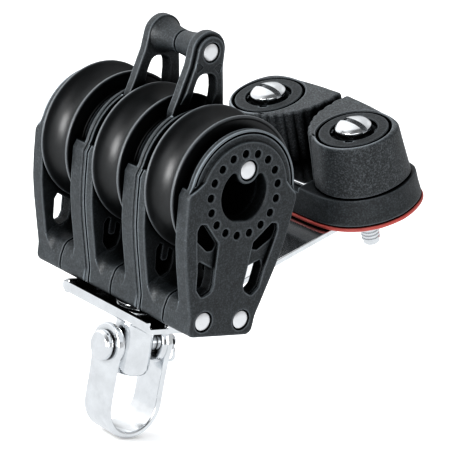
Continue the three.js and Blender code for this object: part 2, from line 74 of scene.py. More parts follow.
# ------------------------------------------------------------------ places taken from the frame
def middle(node):
    low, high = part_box(node)
    return np.array([(a + b) / 2 for a, b in zip(low, high)]) / MM


def right_face(node):
    """a node's furthest X, from the middle sheave's centre"""
    return np.array(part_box(node)[1])[0] / MM - AXLE[0]


AXLE = middle("sheave_middle")
PITCH = middle("sheave_right")[0] - AXLE[0]
BECKET_Z = middle("becket_rivet")[2] - AXLE[2]
PIN_Z = middle("shackle_pin")[2] - AXLE[2]
OUTER_REACH = right_face("cage_right_outer") - PITCH    # outer cage face, from its own sheave
DIVIDER_REACH = right_face("cage_middle_right")
RIVET_REACH = right_face("rivet_top")
BECKET_RIVET_REACH = right_face("becket_rivet")

# rivets through all the cages, as (y, z)
RIVET_TOP = (0, 4.73)
RIVET_REAR = (4.68, -25.26)
RIVET_FRONT = (-4.68, -25.26)
CAGE_RIVETS = (RIVET_TOP, RIVET_REAR, RIVET_FRONT)
RIVET_RADIUS = 1.6
RIVET_HOLE = 1.7


# ------------------------------------------------------------------ 2D outlines
# Outline and profile points are (a, b) or (a, b, corner radius).
def corner_sides(before, corner, after):
    """a corner, the directions to its neighbours, its opening angle and its shorter side"""
    corner = np.array(corner[:2], float)
    sides = [np.array(p[:2], float) - corner for p in (before, after)]
    lengths = [np.linalg.norm(side) for side in sides]
    to_before, to_after = (side / length for side, length in zip(sides, lengths))
    opening = math.acos(max(-1, min(1, float(to_before @ to_after))))
    return corner, to_before, to_after, opening, min(lengths)


def corner_arc(corner, to_before, to_after, opening, tangent, radius, step=None):
    """arc across a corner in spans of at most step degrees, or in seven spans"""
    bisector = to_before + to_after
    bisector = bisector / np.linalg.norm(bisector)
    centre = corner + bisector * radius / math.sin(opening / 2)
    start = corner + to_before * tangent - centre
    end = corner + to_after * tangent - centre
    angle = math.atan2(start[1], start[0])
    turn = (math.atan2(end[1], end[0]) - angle + pi) % (2 * pi) - pi
    spans = max(1, math.ceil(abs(turn) / math.radians(step))) if step else 7
    angles = [angle + turn * j / spans for j in range(spans + 1)]
    return [centre + radius * np.array([math.cos(a), math.sin(a)]) for a in angles]


def rounded(points, step, straight):
    """points with their corners rounded; those within straight radians of flat are kept"""
    out = []
    for i, point in enumerate(points):
        radius = point[2] if len(point) > 2 else 0
        if radius <= 0:
            out.append(np.array(point[:2], float))
            continue
        corner, to_before, to_after, opening, side = corner_sides(
            points[i - 1], point, points[(i + 1) % len(points)])
        if opening > pi - straight:
            out.append(corner)
            continue
        half_tan = math.tan(opening / 2)
        tangent = min(radius / half_tan, 0.49 * side)
        out += corner_arc(corner, to_before, to_after, opening, tangent, tangent * half_tan, step)
    return out


def fillet(points, step=14):
    """closed outline"""
    return tidy(np.array(rounded(points, step, straight=0.004)))


def soft(profile):
    """profile for lathe"""
    return rounded(profile, step=18, straight=0.01)


def tidy(outline, gap=1e-3):
    """drops repeated points and makes the outline run anticlockwise"""
    keep = [outline[0]]
    for point in outline[1:]:
        if np.linalg.norm(point - keep[-1]) > gap:
            keep.append(point)
    if np.linalg.norm(keep[0] - keep[-1]) < gap:
        keep.pop()
    outline = np.array(keep)
    x, y = outline[:, 0], outline[:, 1]
    if (x * np.roll(y, -1) - y * np.roll(x, -1)).sum() < 0:
        outline = outline[::-1].copy()
    return outline


def arc(centre_x, centre_y, radius, start, end, spans):
    """angles in degrees"""
    a = np.radians(np.linspace(start, end, spans + 1))
    return [(centre_x + radius * c, centre_y + radius * s) for c, s in zip(np.cos(a), np.sin(a))]


def circle(centre_x, radius):
    return tidy(np.array(arc(centre_x, 0, radius, 0, 360, 32)))


def rectangle(x0, x1, y0, y1, radius=0, step=14):
    return fillet([(x0, y0, radius), (x1, y0, radius), (x1, y1, radius), (x0, y1, radius)], step)


def offset(outline, distance):
    """outline moved outward"""
    if abs(distance) < 1e-9:
        return outline.copy()
    before, after = outline - np.roll(outline, 1, 0), np.roll(outline, -1, 0) - outline
    before /= np.linalg.norm(before, axis=1)[:, None]
    after /= np.linalg.norm(after, axis=1)[:, None]
    normal_before = np.c_[before[:, 1], -before[:, 0]]
    normal = normal_before + np.c_[after[:, 1], -after[:, 0]]
    normal /= np.maximum(np.linalg.norm(normal, axis=1), 1e-9)[:, None]
    mitre = distance / np.maximum(0.45, (normal * normal_before).sum(1))
    return outline + normal * mitre[:, None]


def flipped(points):
    """mirror image in the first coordinate, in reverse order"""
    return [(-p[0], *p[1:]) for p in reversed(points)]


def mirrored(half):
    """a half and its mirror image; points on the middle line aren't repeated"""
    return half + [p for p in flipped(half) if abs(p[0]) > 1e-6]


def both_sides(outline):
    return outline, tidy(outline * np.array([-1, 1]))


# ------------------------------------------------------------------ solids
# column order that turns (along, a, b) into (x, y, z)
AXIS_ORDER = {"x": [0, 1, 2], "y": [1, 0, 2], "z": [1, 2, 0]}


def volume(points, faces):
    total = 0.0
    for face in faces:
        first = points[face[0]]
        for i in range(1, len(face) - 1):
            total += float(np.dot(first, np.cross(points[face[i]], points[face[i + 1]])))
    return total


def solid(points, faces):
    points = np.array(points, float)
    if volume(points, faces) < 0:
        faces = [tuple(reversed(face)) for face in faces]
    mesh = bpy.data.meshes.new("solid")
    mesh.from_pydata([tuple(p) for p in points], [], faces)
    mesh.update()
    return mesh


def to_3d(outline, along, axis):
    return np.c_[np.full(len(outline), float(along)), outline][:, AXIS_ORDER[axis]]


def loft(rings, closed=False):
    """skin over rings of equal count, capped at both ends or closed on itself"""
    n, count, faces = len(rings[0]), len(rings), []
    for k in range(count if closed else count - 1):
        a, b = k * n, (k + 1) % count * n
        faces += [(a + i, a + (i + 1) % n, b + (i + 1) % n, b + i) for i in range(n)]
    if not closed:
        faces.append(tuple(reversed(range(n))))
        faces.append(tuple(range((count - 1) * n, count * n)))
    return solid(np.concatenate(rings), faces)


def prism(outline, levels, axis="x"):
    """outline carried along axis; levels are (place, how far the outline is moved outward)"""
    return loft([to_3d(offset(outline, out), along, axis) for along, out in levels])


def round_levels(start, end, start_radius, end_radius):
    """levels of a prism with rounded rims; a start radius of 0 leaves that rim sharp"""
    quarter = np.linspace(0, pi / 2, 4)
    first = [(start, 0)]
    if start_radius > 0:
        first = [(start + start_radius * (1 - math.cos(a)), -start_radius * (1 - math.sin(a)))
                 for a in quarter]
    return first + [(end - end_radius * (1 - math.cos(a)), -end_radius * (1 - math.sin(a)))
                    for a in np.linspace(pi / 2, 0, 4)]


def flare(face, radius):
    """last levels of a cutter that opens outward by radius where it meets the face"""
    return [(face - radius, 0), (face - 0.55 * radius, 0.18 * radius),
            (face - 0.15 * radius, 0.6 * radius), (face + 0.001, radius),
            (face + 0.3, radius + 0.3)]


def lathe(profile, segments=48, axis="x", at=(0, 0, 0)):
    """profile of (along, radius): a closed ring if it keeps off the axis, else ends on it"""
    ring = all(radius > 1e-6 for _, radius in profile)
    turns = np.linspace(0, 2 * pi, segments, endpoint=False)
    points, starts, faces = [], [], []
    for along, radius in profile:
        starts.append(len(points))
        if radius <= 1e-6:
            points.append((along, 0, 0))
        else:
            points += [(along, radius * math.cos(a), radius * math.sin(a)) for a in turns]
    pairs = list(zip(range(len(profile) - 1), range(1, len(profile))))
    if ring:
        pairs.append((len(profile) - 1, 0))
    for p, q in pairs:
        a, b = starts[p], starts[q]
        for i in range(segments):
            j = (i + 1) % segments
            if profile[p][1] <= 1e-6:
                faces.append((a, b + j, b + i))
            elif profile[q][1] <= 1e-6:
                faces.append((a + i, a + j, b))
            else:
                faces.append((a + i, a + j, b + j, b + i))
    return solid(np.array(points, float)[:, AXIS_ORDER[axis]] + np.array(at, float), faces)


def rod(start, end, radius, segments=24, axis="x", at=(0, 0, 0)):
    return lathe([(start, 0), (start, radius), (end, radius), (end, 0)], segments, axis, at)


def box(x0, x1, y0, y1, z0, z1):
    points = [(x, y, z) for x in (x0, x1) for y in (y0, y1) for z in (z0, z1)]
    return solid(points, [(0, 1, 3, 2), (4, 6, 7, 5), (0, 4, 5, 1),
                          (2, 3, 7, 6), (0, 2, 6, 4), (1, 5, 7, 3)])


def sweep(path, section, closed=False):
    """2D section carried along a 3D path without twist about Z"""
    if closed:
        tangents = np.roll(path, -1, 0) - np.roll(path, 1, 0)
    else:
        tangents = np.gradient(path, axis=0)
    tangents /= np.linalg.norm(tangents, axis=1)[:, None]
    section = np.array(section, float)
    rings = []
    for point, tangent in zip(path, tangents):
        across = np.cross(tangent, np.array((0, 0, 1), float))
        across /= np.linalg.norm(across)
        rise = np.cross(across, tangent)
        rings.append(point + section[:, :1] * across + section[:, 1:2] * rise)
    return loft(rings, closed)


def linked(mesh):
    obj = bpy.data.objects.new("temporary", mesh)
    scene.collection.objects.link(obj)
    return obj


def combine(mesh, *steps):
    """steps are ("UNION"|"DIFFERENCE"|"INTERSECT", mesh); each mesh is used up"""
    base, tools = linked(mesh), []
    for operation, tool_mesh in steps:
        tool = linked(tool_mesh)
        tools.append(tool)
        modifier = base.modifiers.new("boolean", "BOOLEAN")
        modifier.operation = operation
        modifier.object = tool
        modifier.solver = "MANIFOLD"
    graph = bpy.context.evaluated_depsgraph_get()
    graph.update()
    out = bpy.data.meshes.new_from_object(base.evaluated_get(graph))
    for obj in tools + [base]:
        bpy.data.objects.remove(obj)
    return out


def subtract(mesh, *cutters):
    return combine(mesh, *[("DIFFERENCE", cutter) for cutter in cutters])


def unite(mesh, *others):
    return combine(mesh, *[("UNION", other) for other in others])


def moved(mesh, matrix):
    mesh.transform(matrix)
    if matrix.determinant() < 0:
        mesh.flip_normals()
    return mesh


def mirror_x(mesh):
    return moved(mesh, Matrix.Diagonal((-1, 1, 1, 1)))


def shift_x(mesh, x):
    return moved(mesh, Matrix.Translation((x, 0, 0)))


# ------------------------------------------------------------------ shader nodes
def feed(tree, node, inputs):
    """links or sets inputs by name or number; colours are given without alpha"""
    for key, value in inputs.items():
        socket = node.inputs[key]
        if isinstance(value, bpy.types.NodeSocket):
            tree.links.new(value, socket)
        else:
            socket.default_value = (*value, 1) if socket.type == "RGBA" else value


def add_node(tree, kind, inputs={}, **settings):
    node = tree.nodes.new(kind)
    for key, value in settings.items():
        setattr(node, key, value)
    feed(tree, node, inputs)
    return node


def new_material(name):
    material = bpy.data.materials.new(name)
    material.use_nodes = True
    tree = material.node_tree
    tree.nodes.clear()
    output = add_node(tree, "ShaderNodeOutputMaterial")
    shader = add_node(tree, "ShaderNodeBsdfPrincipled")
    tree.links.new(shader.outputs[0], output.inputs[0])
    return material, tree, shader


def calc(tree, operation, a, b):
    return add_node(tree, "ShaderNodeMath", {0: a, 1: b}, operation=operation).outputs[0]


def remap(tree, value, take, give, curve="LINEAR"):
    """value carried from the range take to the range give, and clamped to it"""
    inputs = dict(enumerate((value, *take, *give)))
    return add_node(tree, "ShaderNodeMapRange", inputs, interpolation_type=curve).outputs[0]


def noise(tree, place, scale, detail, rough):
    return add_node(tree, "ShaderNodeTexNoise", {
        "Vector": place, "Scale": scale, "Detail": detail, "Roughness": rough}).outputs["Fac"]


def millimetres(tree, stretch=(1, 1, 1)):
    """object coordinates in millimetres"""
    source = add_node(tree, "ShaderNodeTexCoord").outputs["Object"]
    return add_node(tree, "ShaderNodeMapping", {
        "Scale": [1000 * s for s in stretch], "Vector": source}).outputs[0]


def mix_color(tree, factor, first, second):
    return add_node(tree, "ShaderNodeMix", {6: first, 7: second, 0: factor},
                    data_type="RGBA").outputs[2]


def scale_color(tree, color, factor):
    return add_node(tree, "ShaderNodeVectorMath", {0: color, "Scale": factor},
                    operation="SCALE").outputs[0]


def occlusion(tree, distance, samples=6, **settings):
    return add_node(tree, "ShaderNodeAmbientOcclusion", {"Distance": distance * MM},
                    samples=samples, **settings).outputs["AO"]


def bump_normal(tree, height, strength, distance):
    return add_node(tree, "ShaderNodeBump", {
        "Strength": strength, "Distance": distance * MM, "Height": height}).outputs[0]


# ------------------------------------------------------------------ materials
RIM_WEAR_HIGHLIGHT_TINT = (0.9, 0.98, 1.06)       # slightly blue, added to the pale rims, which are partly worn edges and partly a painted edge highlight


def plastic(name, dark, light, rough, grain, mottle=0.5, edge=0.5, shade_depth=0.7, coat=0.0,
            bump=0.5, specular=0.5, reach=4.5, specks=0.0):
    """moulded plastic: fine grain, soft mottling, pale rims that are partly worn edges and partly
    a painted edge highlight, and painted shade in corners and hollows

    grain scales the fine texture, mottle how far the colour drifts from dark to light, edge
    how pale the rims are, shade_depth how dark the painted shade in the hollows is and reach how
    wide, in mm.
    """
    material, tree, shader = new_material(name)
    place = millimetres(tree)
    fine = noise(tree, place, scale=3.2, detail=4, rough=0.62)
    broad = noise(tree, place, scale=0.55, detail=4, rough=0.6)
    finest = noise(tree, place, scale=9.0, detail=2, rough=0.5)

    patches = remap(tree, broad, take=(0.35, 0.68), give=(0, mottle))
    color = mix_color(tree, patches, dark, light)
    grains = remap(tree, fine, take=(0.46, 0.72), give=(0, min(1.0, 0.6 * grain)))
    color = mix_color(tree, grains, color, light)
    if specks:
        spots = noise(tree, place, scale=2.7, detail=2, rough=0.7)
        pale = remap(tree, spots, take=(0.50, 0.70), give=(0, specks))
        color = mix_color(tree, pale, color, tuple(2.6 * c for c in light))
        deep = remap(tree, spots, take=(0.50, 0.32), give=(0, specks))
        color = mix_color(tree, deep, color, tuple(0.4 * c for c in dark))

    # this wide occlusion and the near one below give painted shade in hollows, corners and
    # recesses
    wide = occlusion(tree, distance=reach)
    # pale rims: partly worn edges, partly a painted edge highlight, in a paler slightly blue
    # colour
    rim = occlusion(tree, distance=0.5, samples=8, inside=True, only_local=True)
    rim_wear_and_highlight = remap(tree, rim, take=(0.45, 0.93), give=(edge, 0))
    worn_and_highlit_rim = tuple(min(1, 3.4 * c + 0.16 * tint) for c, tint in zip(light, RIM_WEAR_HIGHLIGHT_TINT))
    color = mix_color(tree, rim_wear_and_highlight, color, worn_and_highlit_rim)
    near = occlusion(tree, distance=0.8)
    # painted shade: both occlusions darken the base colour and the specular level in hollows,
    # corners and recesses
    painted_shade = calc(tree, "MULTIPLY",
                   remap(tree, wide, take=(0.40, 0.92), give=(1 - shade_depth, 1)),
                   remap(tree, near, take=(0.38, 0.82), give=(0.12, 1)))
    height = (("MULTIPLY", fine, 1.0), ("MULTIPLY", finest, 0.5))
    feed(tree, shader, {
        "Base Color": scale_color(tree, color, painted_shade),
        "Roughness": remap(tree, fine, take=(0.3, 0.75),
                           give=(rough - 0.07 * grain, rough + 0.1 * grain)),
        "Specular IOR Level": calc(tree, "MULTIPLY", painted_shade, specular),
        "Normal": bump_normal(tree, calc(tree, "ADD", *[calc(tree, *part) for part in height]),
                              strength=bump * grain, distance=0.03),
        "Coat Weight": coat,
        "Coat Roughness": 0.3})
    return material


def metal(name, color, rough, brush=(1, 1, 1), scratch=0.25, tint=0.12, shade_depth=0.5):
    """brush stretches the scratches, scratch is their depth, tint darkens broad patches"""
    material, tree, shader = new_material(name)
    scratches = noise(tree, millimetres(tree, brush), scale=2.4, detail=5, rough=0.65)
    broad = noise(tree, millimetres(tree), scale=0.35, detail=3, rough=0.5)
    patches = remap(tree, broad, take=(0.3, 0.7), give=(0, 1))
    base = mix_color(tree, patches, color, tuple(c * (1 - tint) for c in color))
    # painted shade: occlusion darkens the metal's base colour in hollows and recesses
    painted_shade = remap(tree, occlusion(tree, distance=1.6), take=(0.15, 0.8), give=(1 - shade_depth, 1))
    feed(tree, shader, {
        "Base Color": scale_color(tree, base, painted_shade),
        "Metallic": 1,
        "Roughness": remap(tree, scratches, take=(0.3, 0.75), give=(rough * 0.7, rough * 1.5)),
        "Normal": bump_normal(tree, scratches, strength=scratch, distance=0.012)})
    return material


NYLON = plastic(
    "black_nylon", dark=(0.0120, 0.0143, 0.0160), light=(0.0415, 0.049, 0.054), rough=0.43,
    grain=1.1, mottle=0.4, edge=0.75, shade_depth=1.0, specular=0.42, bump=1.1, reach=11, specks=0.35)
# darker, less glossy copy of the black nylon for the cam hub discs: painted shade, since their
# upward tops catch the overhead reflection
NYLON_LID_SHADED = plastic(
    "black_nylon_lid_shaded", dark=(0.0065, 0.0078, 0.0088), light=(0.024, 0.0285, 0.0315), rough=0.5,
    grain=1.3, mottle=0.4, edge=0.8, shade_depth=1.0, specular=0.3, bump=1.1, reach=6, specks=0.6)
NYLON_CAM = plastic(
    "black_nylon_cam", dark=(0.0105, 0.0125, 0.0140), light=(0.0560, 0.0630, 0.068), rough=0.42,
    grain=1.6, mottle=0.35, edge=0.9, shade_depth=1.0, specular=0.42, bump=1.2, reach=8, specks=0.6)
ACETAL = plastic(
    "sheave_acetal_black", dark=(0.004, 0.005, 0.006), light=(0.0115, 0.014, 0.016), rough=0.41,
    grain=0.8, mottle=0.9, edge=1.0, specular=0.72, bump=0.5, shade_depth=1.0, coat=0.4, reach=9)
RED = plastic("red_plastic", dark=(0.46, 0.062, 0.050), light=(0.56, 0.105, 0.085), rough=0.42,
              grain=0.7, edge=0.12, shade_depth=0.6)
BALL = plastic("ball_plastic", dark=(0.72, 0.71, 0.66), light=(0.82, 0.81, 0.77), rough=0.3,
               grain=0.4, edge=0.1, shade_depth=0.4)
STEEL_COLOR = (0.925, 0.94, 0.955)
STEEL = metal("stainless", STEEL_COLOR, rough=0.13, brush=(0.25, 1, 1), shade_depth=0.9)
STEEL_PLATE = metal("stainless_plate", STEEL_COLOR, rough=0.12, brush=(0.12, 1, 1), shade_depth=0.85,
                    scratch=0.15)
SCREW = metal("stainless_screw", (0.88, 0.895, 0.91), rough=0.17, brush=(1, 0.22, 1),
              scratch=0.9, shade_depth=0.9)
RIVET = metal("stainless_rivet", (0.98, 0.985, 0.99), rough=0.36, scratch=0.2, shade_depth=0.25,
              tint=0.04)
SPRING = metal("spring_wire", (0.66, 0.68, 0.70), rough=0.28)


def emit(node, mesh, material, angle=30, place=Matrix.Translation(AXLE)):
    """a finished piece in the place of one CAD node; angle is where edges turn sharp"""
    name = "vis_" + node
    mesh = moved(mesh, Matrix.Scale(MM, 4) @ place)
    mesh.name = name
    mesh.polygons.foreach_set("use_smooth", [True] * len(mesh.polygons))
    mesh.set_sharp_from_angle(angle=math.radians(angle))
    mesh.materials.clear()
    mesh.materials.append(material)
    obj = bpy.data.objects.new(name, mesh)
    scene.collection.objects.link(obj)
    shading = obj.modifiers.new("wn", "WEIGHTED_NORMAL")
    shading.keep_sharp = True
    shading.mode = "FACE_AREA"
    shading.weight = 60
    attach(obj, frame["nodes"][node]["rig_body"])
    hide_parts(node)


# ------------------------------------------------------------------ cage outlines, (y, z)
WALL_START = 4.85       # inner face of the wall, from the sheave's middle
COVE = 2.2              # radius that leads the web into the wall
COVE_TURN = 1.3

CAGE_SIDE = [
    (0, -28.4), (7.95, -28.4, 1.7), (8.15, -24.6, 6), (9.15, -21.4, 30), (10.35, -17.4, 40),
    (11.7, -13.0, 40), (12.7, -8.0, 40), (13.42, -0.8, 0.6), (12.6, 1.3, 1.2)]
CAGE_OUTLINE = fillet(CAGE_SIDE + arc(0, 0, 12.6, 11, 169, 44) + flipped(CAGE_SIDE[1:]), 12)
WEB_OUTLINE = fillet(mirrored([
    (0, -28.4), (7.95, -28.4, 1.7), (8.12, -25.0, 2.0), (7.5, -22.3, 2.2), (4.6, -20.9, 3.0),
    (0, -20.6)]), 12)
UPPER_SLOTS = both_sides(fillet([
    (9.35, -5.9, 0.7), (8.2, -6.0, 0.5), (4.3, -9.9, 0.6), (4.9, -11.2, 0.8),
    (6.2, -11.35, 0.7), (9.45, -9.0, 0.8), (9.85, -7.2, 0.7)]))
LOWER_SLOTS = both_sides(fillet([
    (7.55, -13.4, 0.25), (8.15, -14.6, 0.6), (7.65, -18.6, 0.9), (6.2, -20.25, 0.9),
    (4.2, -19.1, 0.7), (3.85, -17.4, 0.6), (4.1, -14.9, 0.3)]))
# shallow pocket round both slots of one side; only the bar between them shows its floor
POCKETS = both_sides(fillet([
    (9.5, -5.8, 0.7), (8.1, -5.85, 0.5), (4.35, -9.6, 0.5), (4.05, -15.0, 4),
    (3.75, -18.2, 0.6), (4.2, -19.4, 0.6), (6.2, -20.45, 0.9), (7.75, -18.8, 0.9),
    (8.2, -15.2, 5), (9.55, -9.4, 5), (9.95, -7.2, 0.7)]))
POCKET_DEPTH = 0.85
# tongues that hang into the dividers' lower slots from their top edges
TONGUES = both_sides(fillet([(5.2, -12.5), (6.9, -12.5), (6.85, -16.9, 0.5), (5.35, -16.9, 0.5)]))
SLOT_START = [(3, 0.2), (WALL_START, 0.2), (5.0, 0)]    # first levels of every slot cutter


def heart():
    """the heart-shaped hole along the axle: a big circle, a lobe round the top rivet, and
    small arcs that join them"""
    join_y, join_z, join_radius = 3.274, 3.231, 0.85
    join_angle = math.degrees(math.atan2(join_z, join_y))
    points = arc(0, 0, 5.45, 180 - join_angle, 360 + join_angle, 60)
    points += arc(join_y, join_z, join_radius, join_angle, 155.4, 8)
    points += arc(0, RIVET_TOP[1], 2.75, -24.6, -155.4, 18)
    points += arc(-join_y, join_z, join_radius, 24.6, 180 - join_angle, 8)
    outline = np.array(points)
    outline[:, 1] = np.maximum(outline[:, 1], -5.15)
    return tidy(outline)


HEART = heart()
ARM_OUTLINE = fillet(mirrored(
    arc(0, 0, 7.6, -90, 40, 22)
    + [(6.4, 11.3, 3.0), (5.65, 14.1, 12), (5.0, 17.1, 12), (4.2, 20.5, 3)]
    + arc(0, BECKET_Z, 4.0, 0, 90, 12)), 10)


# ------------------------------------------------------------------ cage half shells
# Each half is built with its wall on the +X side of its own sheave.
def cage_body(wall_levels, rim_profile):
    """wall and web, with the wall cut back by the rim profile above the shoulders"""
    turns = np.linspace(0, COVE_TURN, 9)
    web = prism(WEB_OUTLINE, [(0.03, -0.36), (0.13, -0.32), (0.25, -0.05), (0.34, 0)]
                + [(4.9 - COVE + COVE * math.sin(a), COVE * (1 - math.cos(a))) for a in turns]
                + [(5.6, COVE * (1 - math.cos(COVE_TURN)) + 0.05)])
    web = combine(web, ("INTERSECT", prism(CAGE_OUTLINE, [(-0.5, 0), (8, 0)])))
    body = unite(prism(CAGE_OUTLINE, wall_levels), web)
    above = prism(np.array([(-16, 0.0), (-12.4, 0.7), (12.4, 0.7), (16, 0.0), (16, 16),
                            (-16, 16)]), [(2.0, 0), (9.0, 0)])
    return subtract(body, combine(lathe(rim_profile, 96), ("INTERSECT", above)))


def heart_cutter(reach):
    return prism(HEART, [(-1, 0), (4.8, 0)] + flare(reach, 0.38))


def wall_levels(reach):
    return round_levels(WALL_START, reach, 0.3, 0.42)


def outer_half(reach):
    body = cage_body(wall_levels(reach), [(3.0, 10.9), (5.75, 10.9), (5.95, 11.0), (6.6, 13.2),
                                          (6.7, 15.5), (3.0, 15.5)])
    # the raised face ends at a smaller radius than the rim
    step = lathe([(reach - 0.62, 10.62), (reach - 0.5, 10.5), (reach - 0.12, 10.42),
                  (reach + 0.05, 10.2), (reach + 1, 9.4), (reach + 1, 16), (reach - 0.62, 16)], 96)
    step_area = fillet([
        (16, -1.2), (13.2, -0.1, 0.8), (11.6, 1.1, 0.5), (9.0, 3.6), (0, 4.0), (-9.0, 3.6),
        (-11.6, 1.1, 0.5), (-13.2, -0.1, 0.8), (-16, -1.2), (-16, 16), (16, 16)])
    # fine groove along the rim
    groove = lathe([(reach - 1.1, 11.92), (reach - 0.95, 11.8), (reach - 0.3, 11.72),
                    (reach - 0.3, 12.22), (reach - 0.95, 12.14), (reach - 1.1, 12.04)], 96)
    groove_area = fillet([(12.6, 1.5), (-12.6, 1.5), (-16, 1.5), (-16, 16), (16, 16), (16, 1.5)])
    cuts = [heart_cutter(reach)]
    for cutter, region in ((step, step_area), (groove, groove_area)):
        cuts.append(combine(cutter, ("INTERSECT", prism(region, [(6, 0), (10, 0)]))))
    floor_x = reach - POCKET_DEPTH
    for outline in POCKETS:
        cuts.append(prism(outline, [(floor_x, 0)] + flare(reach, 0.16)))
    for outline in UPPER_SLOTS + LOWER_SLOTS:
        cuts.append(prism(outline, SLOT_START + flare(floor_x, 0.14)))
    # ring of dimples round the axle
    dimples, ring_radius, first_turn = 17, 8.13, 0.173
    for k in range(dimples):
        turn = first_turn - 2 * pi * k / dimples
        y, z = -ring_radius * math.sin(turn), ring_radius * math.cos(turn)
        cuts.append(lathe([(reach + 0.3, 0), (reach + 0.3, 1.2), (reach, 0.93),
                           (reach - 0.14, 0.78), (reach - 0.8, 0.74), (reach - 0.9, 0.62),
                           (reach - 0.82, 0)], 24, "x", (0, y, z)))
    for y, z in CAGE_RIVETS:
        cuts.append(lathe([(reach + 0.4, 0), (reach + 0.4, 2.35), (reach, 2.16),
                           (reach - 0.3, 2.03), (reach - 0.9, 2.0), (reach - 0.9, 0)],
                          32, "x", (0, y, z)))
        cuts.append(rod(-1, reach, RIVET_HOLE, at=(0, y, z)))
    return subtract(body, *cuts)


def divider_half(reach, arm_pocket, grooved):
    """arm_pocket sinks a seat for a becket arm; grooved runs a line round the wall's edge"""
    levels = wall_levels(reach)
    if grooved:
        line = reach - 1.15
        levels[4:4] = [(line - 0.36, 0), (line - 0.26, -0.4), (line + 0.06, -0.4),
                       (line + 0.16, 0)]
    body = cage_body(levels, [
        (3.0, 10.9), (reach - 1.25, 10.9), (reach - 1.05, 11.1), (reach - 0.95, 12.3),
        (reach - 0.75, 12.62), (reach - 0.7, 15.5), (3.0, 15.5)])
    cuts = [heart_cutter(reach)]
    slot_levels = SLOT_START + [(10, 0)]
    for outline in UPPER_SLOTS:
        cuts.append(prism(outline, slot_levels))
    for outline, tongue in zip(LOWER_SLOTS, TONGUES):
        cuts.append(subtract(prism(outline, slot_levels),
                             prism(tongue, [(3.5, 0), (reach - 0.3, 0)])))
    for y, z in CAGE_RIVETS:
        cuts.append(rod(-1, reach + 1, RIVET_HOLE, at=(0, y, z)))
    cuts.append(box(reach - 0.45, reach + 1, -7.6, 7.6, -30, -21.6))
    if arm_pocket:
        cuts.append(prism(ARM_OUTLINE, [(5.9, 0.1), (reach + 1, 0.1)]))
    return subtract(body, *cuts)


def divider(wall_side, arm_pocket):
    """only the halves with their wall towards -X carry the edge groove"""
    return divider_half(DIVIDER_REACH, arm_pocket, grooved=wall_side < 0)


for node, wall_side, x, cage_mesh in (
        ("cage_right_outer", 1, PITCH, outer_half(OUTER_REACH)),
        ("cage_right_inner", -1, PITCH, divider(-1, arm_pocket=False)),
        ("cage_middle_right", 1, 0, divider(1, arm_pocket=True)),
        ("cage_middle_left", -1, 0, divider(-1, arm_pocket=True)),
        ("cage_left_inner", 1, -PITCH, divider(1, arm_pocket=False)),
        ("cage_left_outer", -1, -PITCH, outer_half(OUTER_REACH))):
    if wall_side < 0:
        cage_mesh = mirror_x(cage_mesh)
    emit(node, shift_x(cage_mesh, x), NYLON)


# ------------------------------------------------------------------ sheaves, hubs, balls
def sheave():
    flange = [(-4.3, 9.72), (-4.45, 10.0, 0.1), (-4.45, 10.9, 0.1), (-4.3, 11.1, 0.1),
              (-4.3, 13.7, 0.1), (-4.45, 14.0, 0.1), (-4.42, 14.45, 0.2), (-3.86, 14.5, 0.16)]
    groove = arc(0, 14.6, 3.8, 180, 360, 26)[2:-2]
    bore = [(0.9, 9.66), (0, 9.74), (-0.9, 9.66)]
    return lathe(soft(flange + groove + flipped(flange) + bore), 128)


def sheave_hub():
    hub = lathe(soft(mirrored([(-4.77, 0), (-4.77, 6.88, 0.2), (-1.6, 6.88), (-1.2, 6.86),
                               (0, 6.80)])), 72)
    return subtract(hub, prism(HEART, [(-9, 0), (9, 0)]),
                    rod(-9, 9, RIVET_HOLE, at=(0, *RIVET_TOP)))


def ball_ring(count, ball_radius, pitch_radius, inner, outer, half_width, axis):
    """balls joined by a thin cage ring"""
    ring = lathe(soft([(-half_width, inner), (-half_width, outer, 0.1), (half_width, outer, 0.1),
                       (half_width, inner)]), 64, axis)
    profile = [(ball_radius * math.cos(a), ball_radius * math.sin(a))
               for a in np.linspace(0, pi, 13)]
    balls = []
    for i in range(count):
        turn = 2 * pi * i / count
        c, s = pitch_radius * math.cos(turn), pitch_radius * math.sin(turn)
        balls.append(lathe(profile, 20, axis, (0, c, s) if axis == "x" else (c, s, 0)))
    return unite(ring, *balls)


for name, x in (("right", PITCH), ("middle", 0), ("left", -PITCH)):
    emit(f"sheave_{name}", shift_x(sheave(), x), ACETAL)
    emit(f"hub_{name}", shift_x(sheave_hub(), x), NYLON)
    balls = ball_ring(count=8, ball_radius=1.28, pitch_radius=8.3, inner=7.75, outer=8.85,
                      half_width=0.6, axis="x")
    emit(f"ball_ring_{name}", shift_x(balls, x), BALL)


# ------------------------------------------------------------------ rivets
def rivet(shank, head, reach, head_depth, y, z):
    return lathe(mirrored([
        (reach - 0.02, 0), (reach, head * 0.45), (reach - 0.05, head * 0.8),
        (reach - 0.2, head * 0.96), (reach - 0.42, head), (reach - head_depth, head),
        (reach - head_depth, shank)]), 40, "x", (0, y, z))


for node, (y, z) in (("rivet_top", RIVET_TOP), ("rivet_front", RIVET_FRONT),
                     ("rivet_rear", RIVET_REAR)):
    emit(node, rivet(RIVET_RADIUS, 1.85, RIVET_REACH, 0.75, y, z), RIVET, angle=40)

# ------------------------------------------------------------------ becket
ARM_FACE = 8.75     # outermost X of the arm's raised face
ARCH = fillet([(-2.8, 9.4), (2.8, 9.4), (2.8, 16.4, 9), (1.9, 19.3, 1.9), (-1.9, 19.3, 1.9),
               (-2.8, 16.4, 9)], 10)
RAISED_FACE = fillet(mirrored(
    [(0, 8.6), (5.6, 8.6), (5.35, 11.3, 5), (4.7, 14.1, 12), (4.1, 17.1, 12), (3.3, 20.5, 3)]
    + arc(0, BECKET_Z, 3.15, 0, 90, 12)), 10)


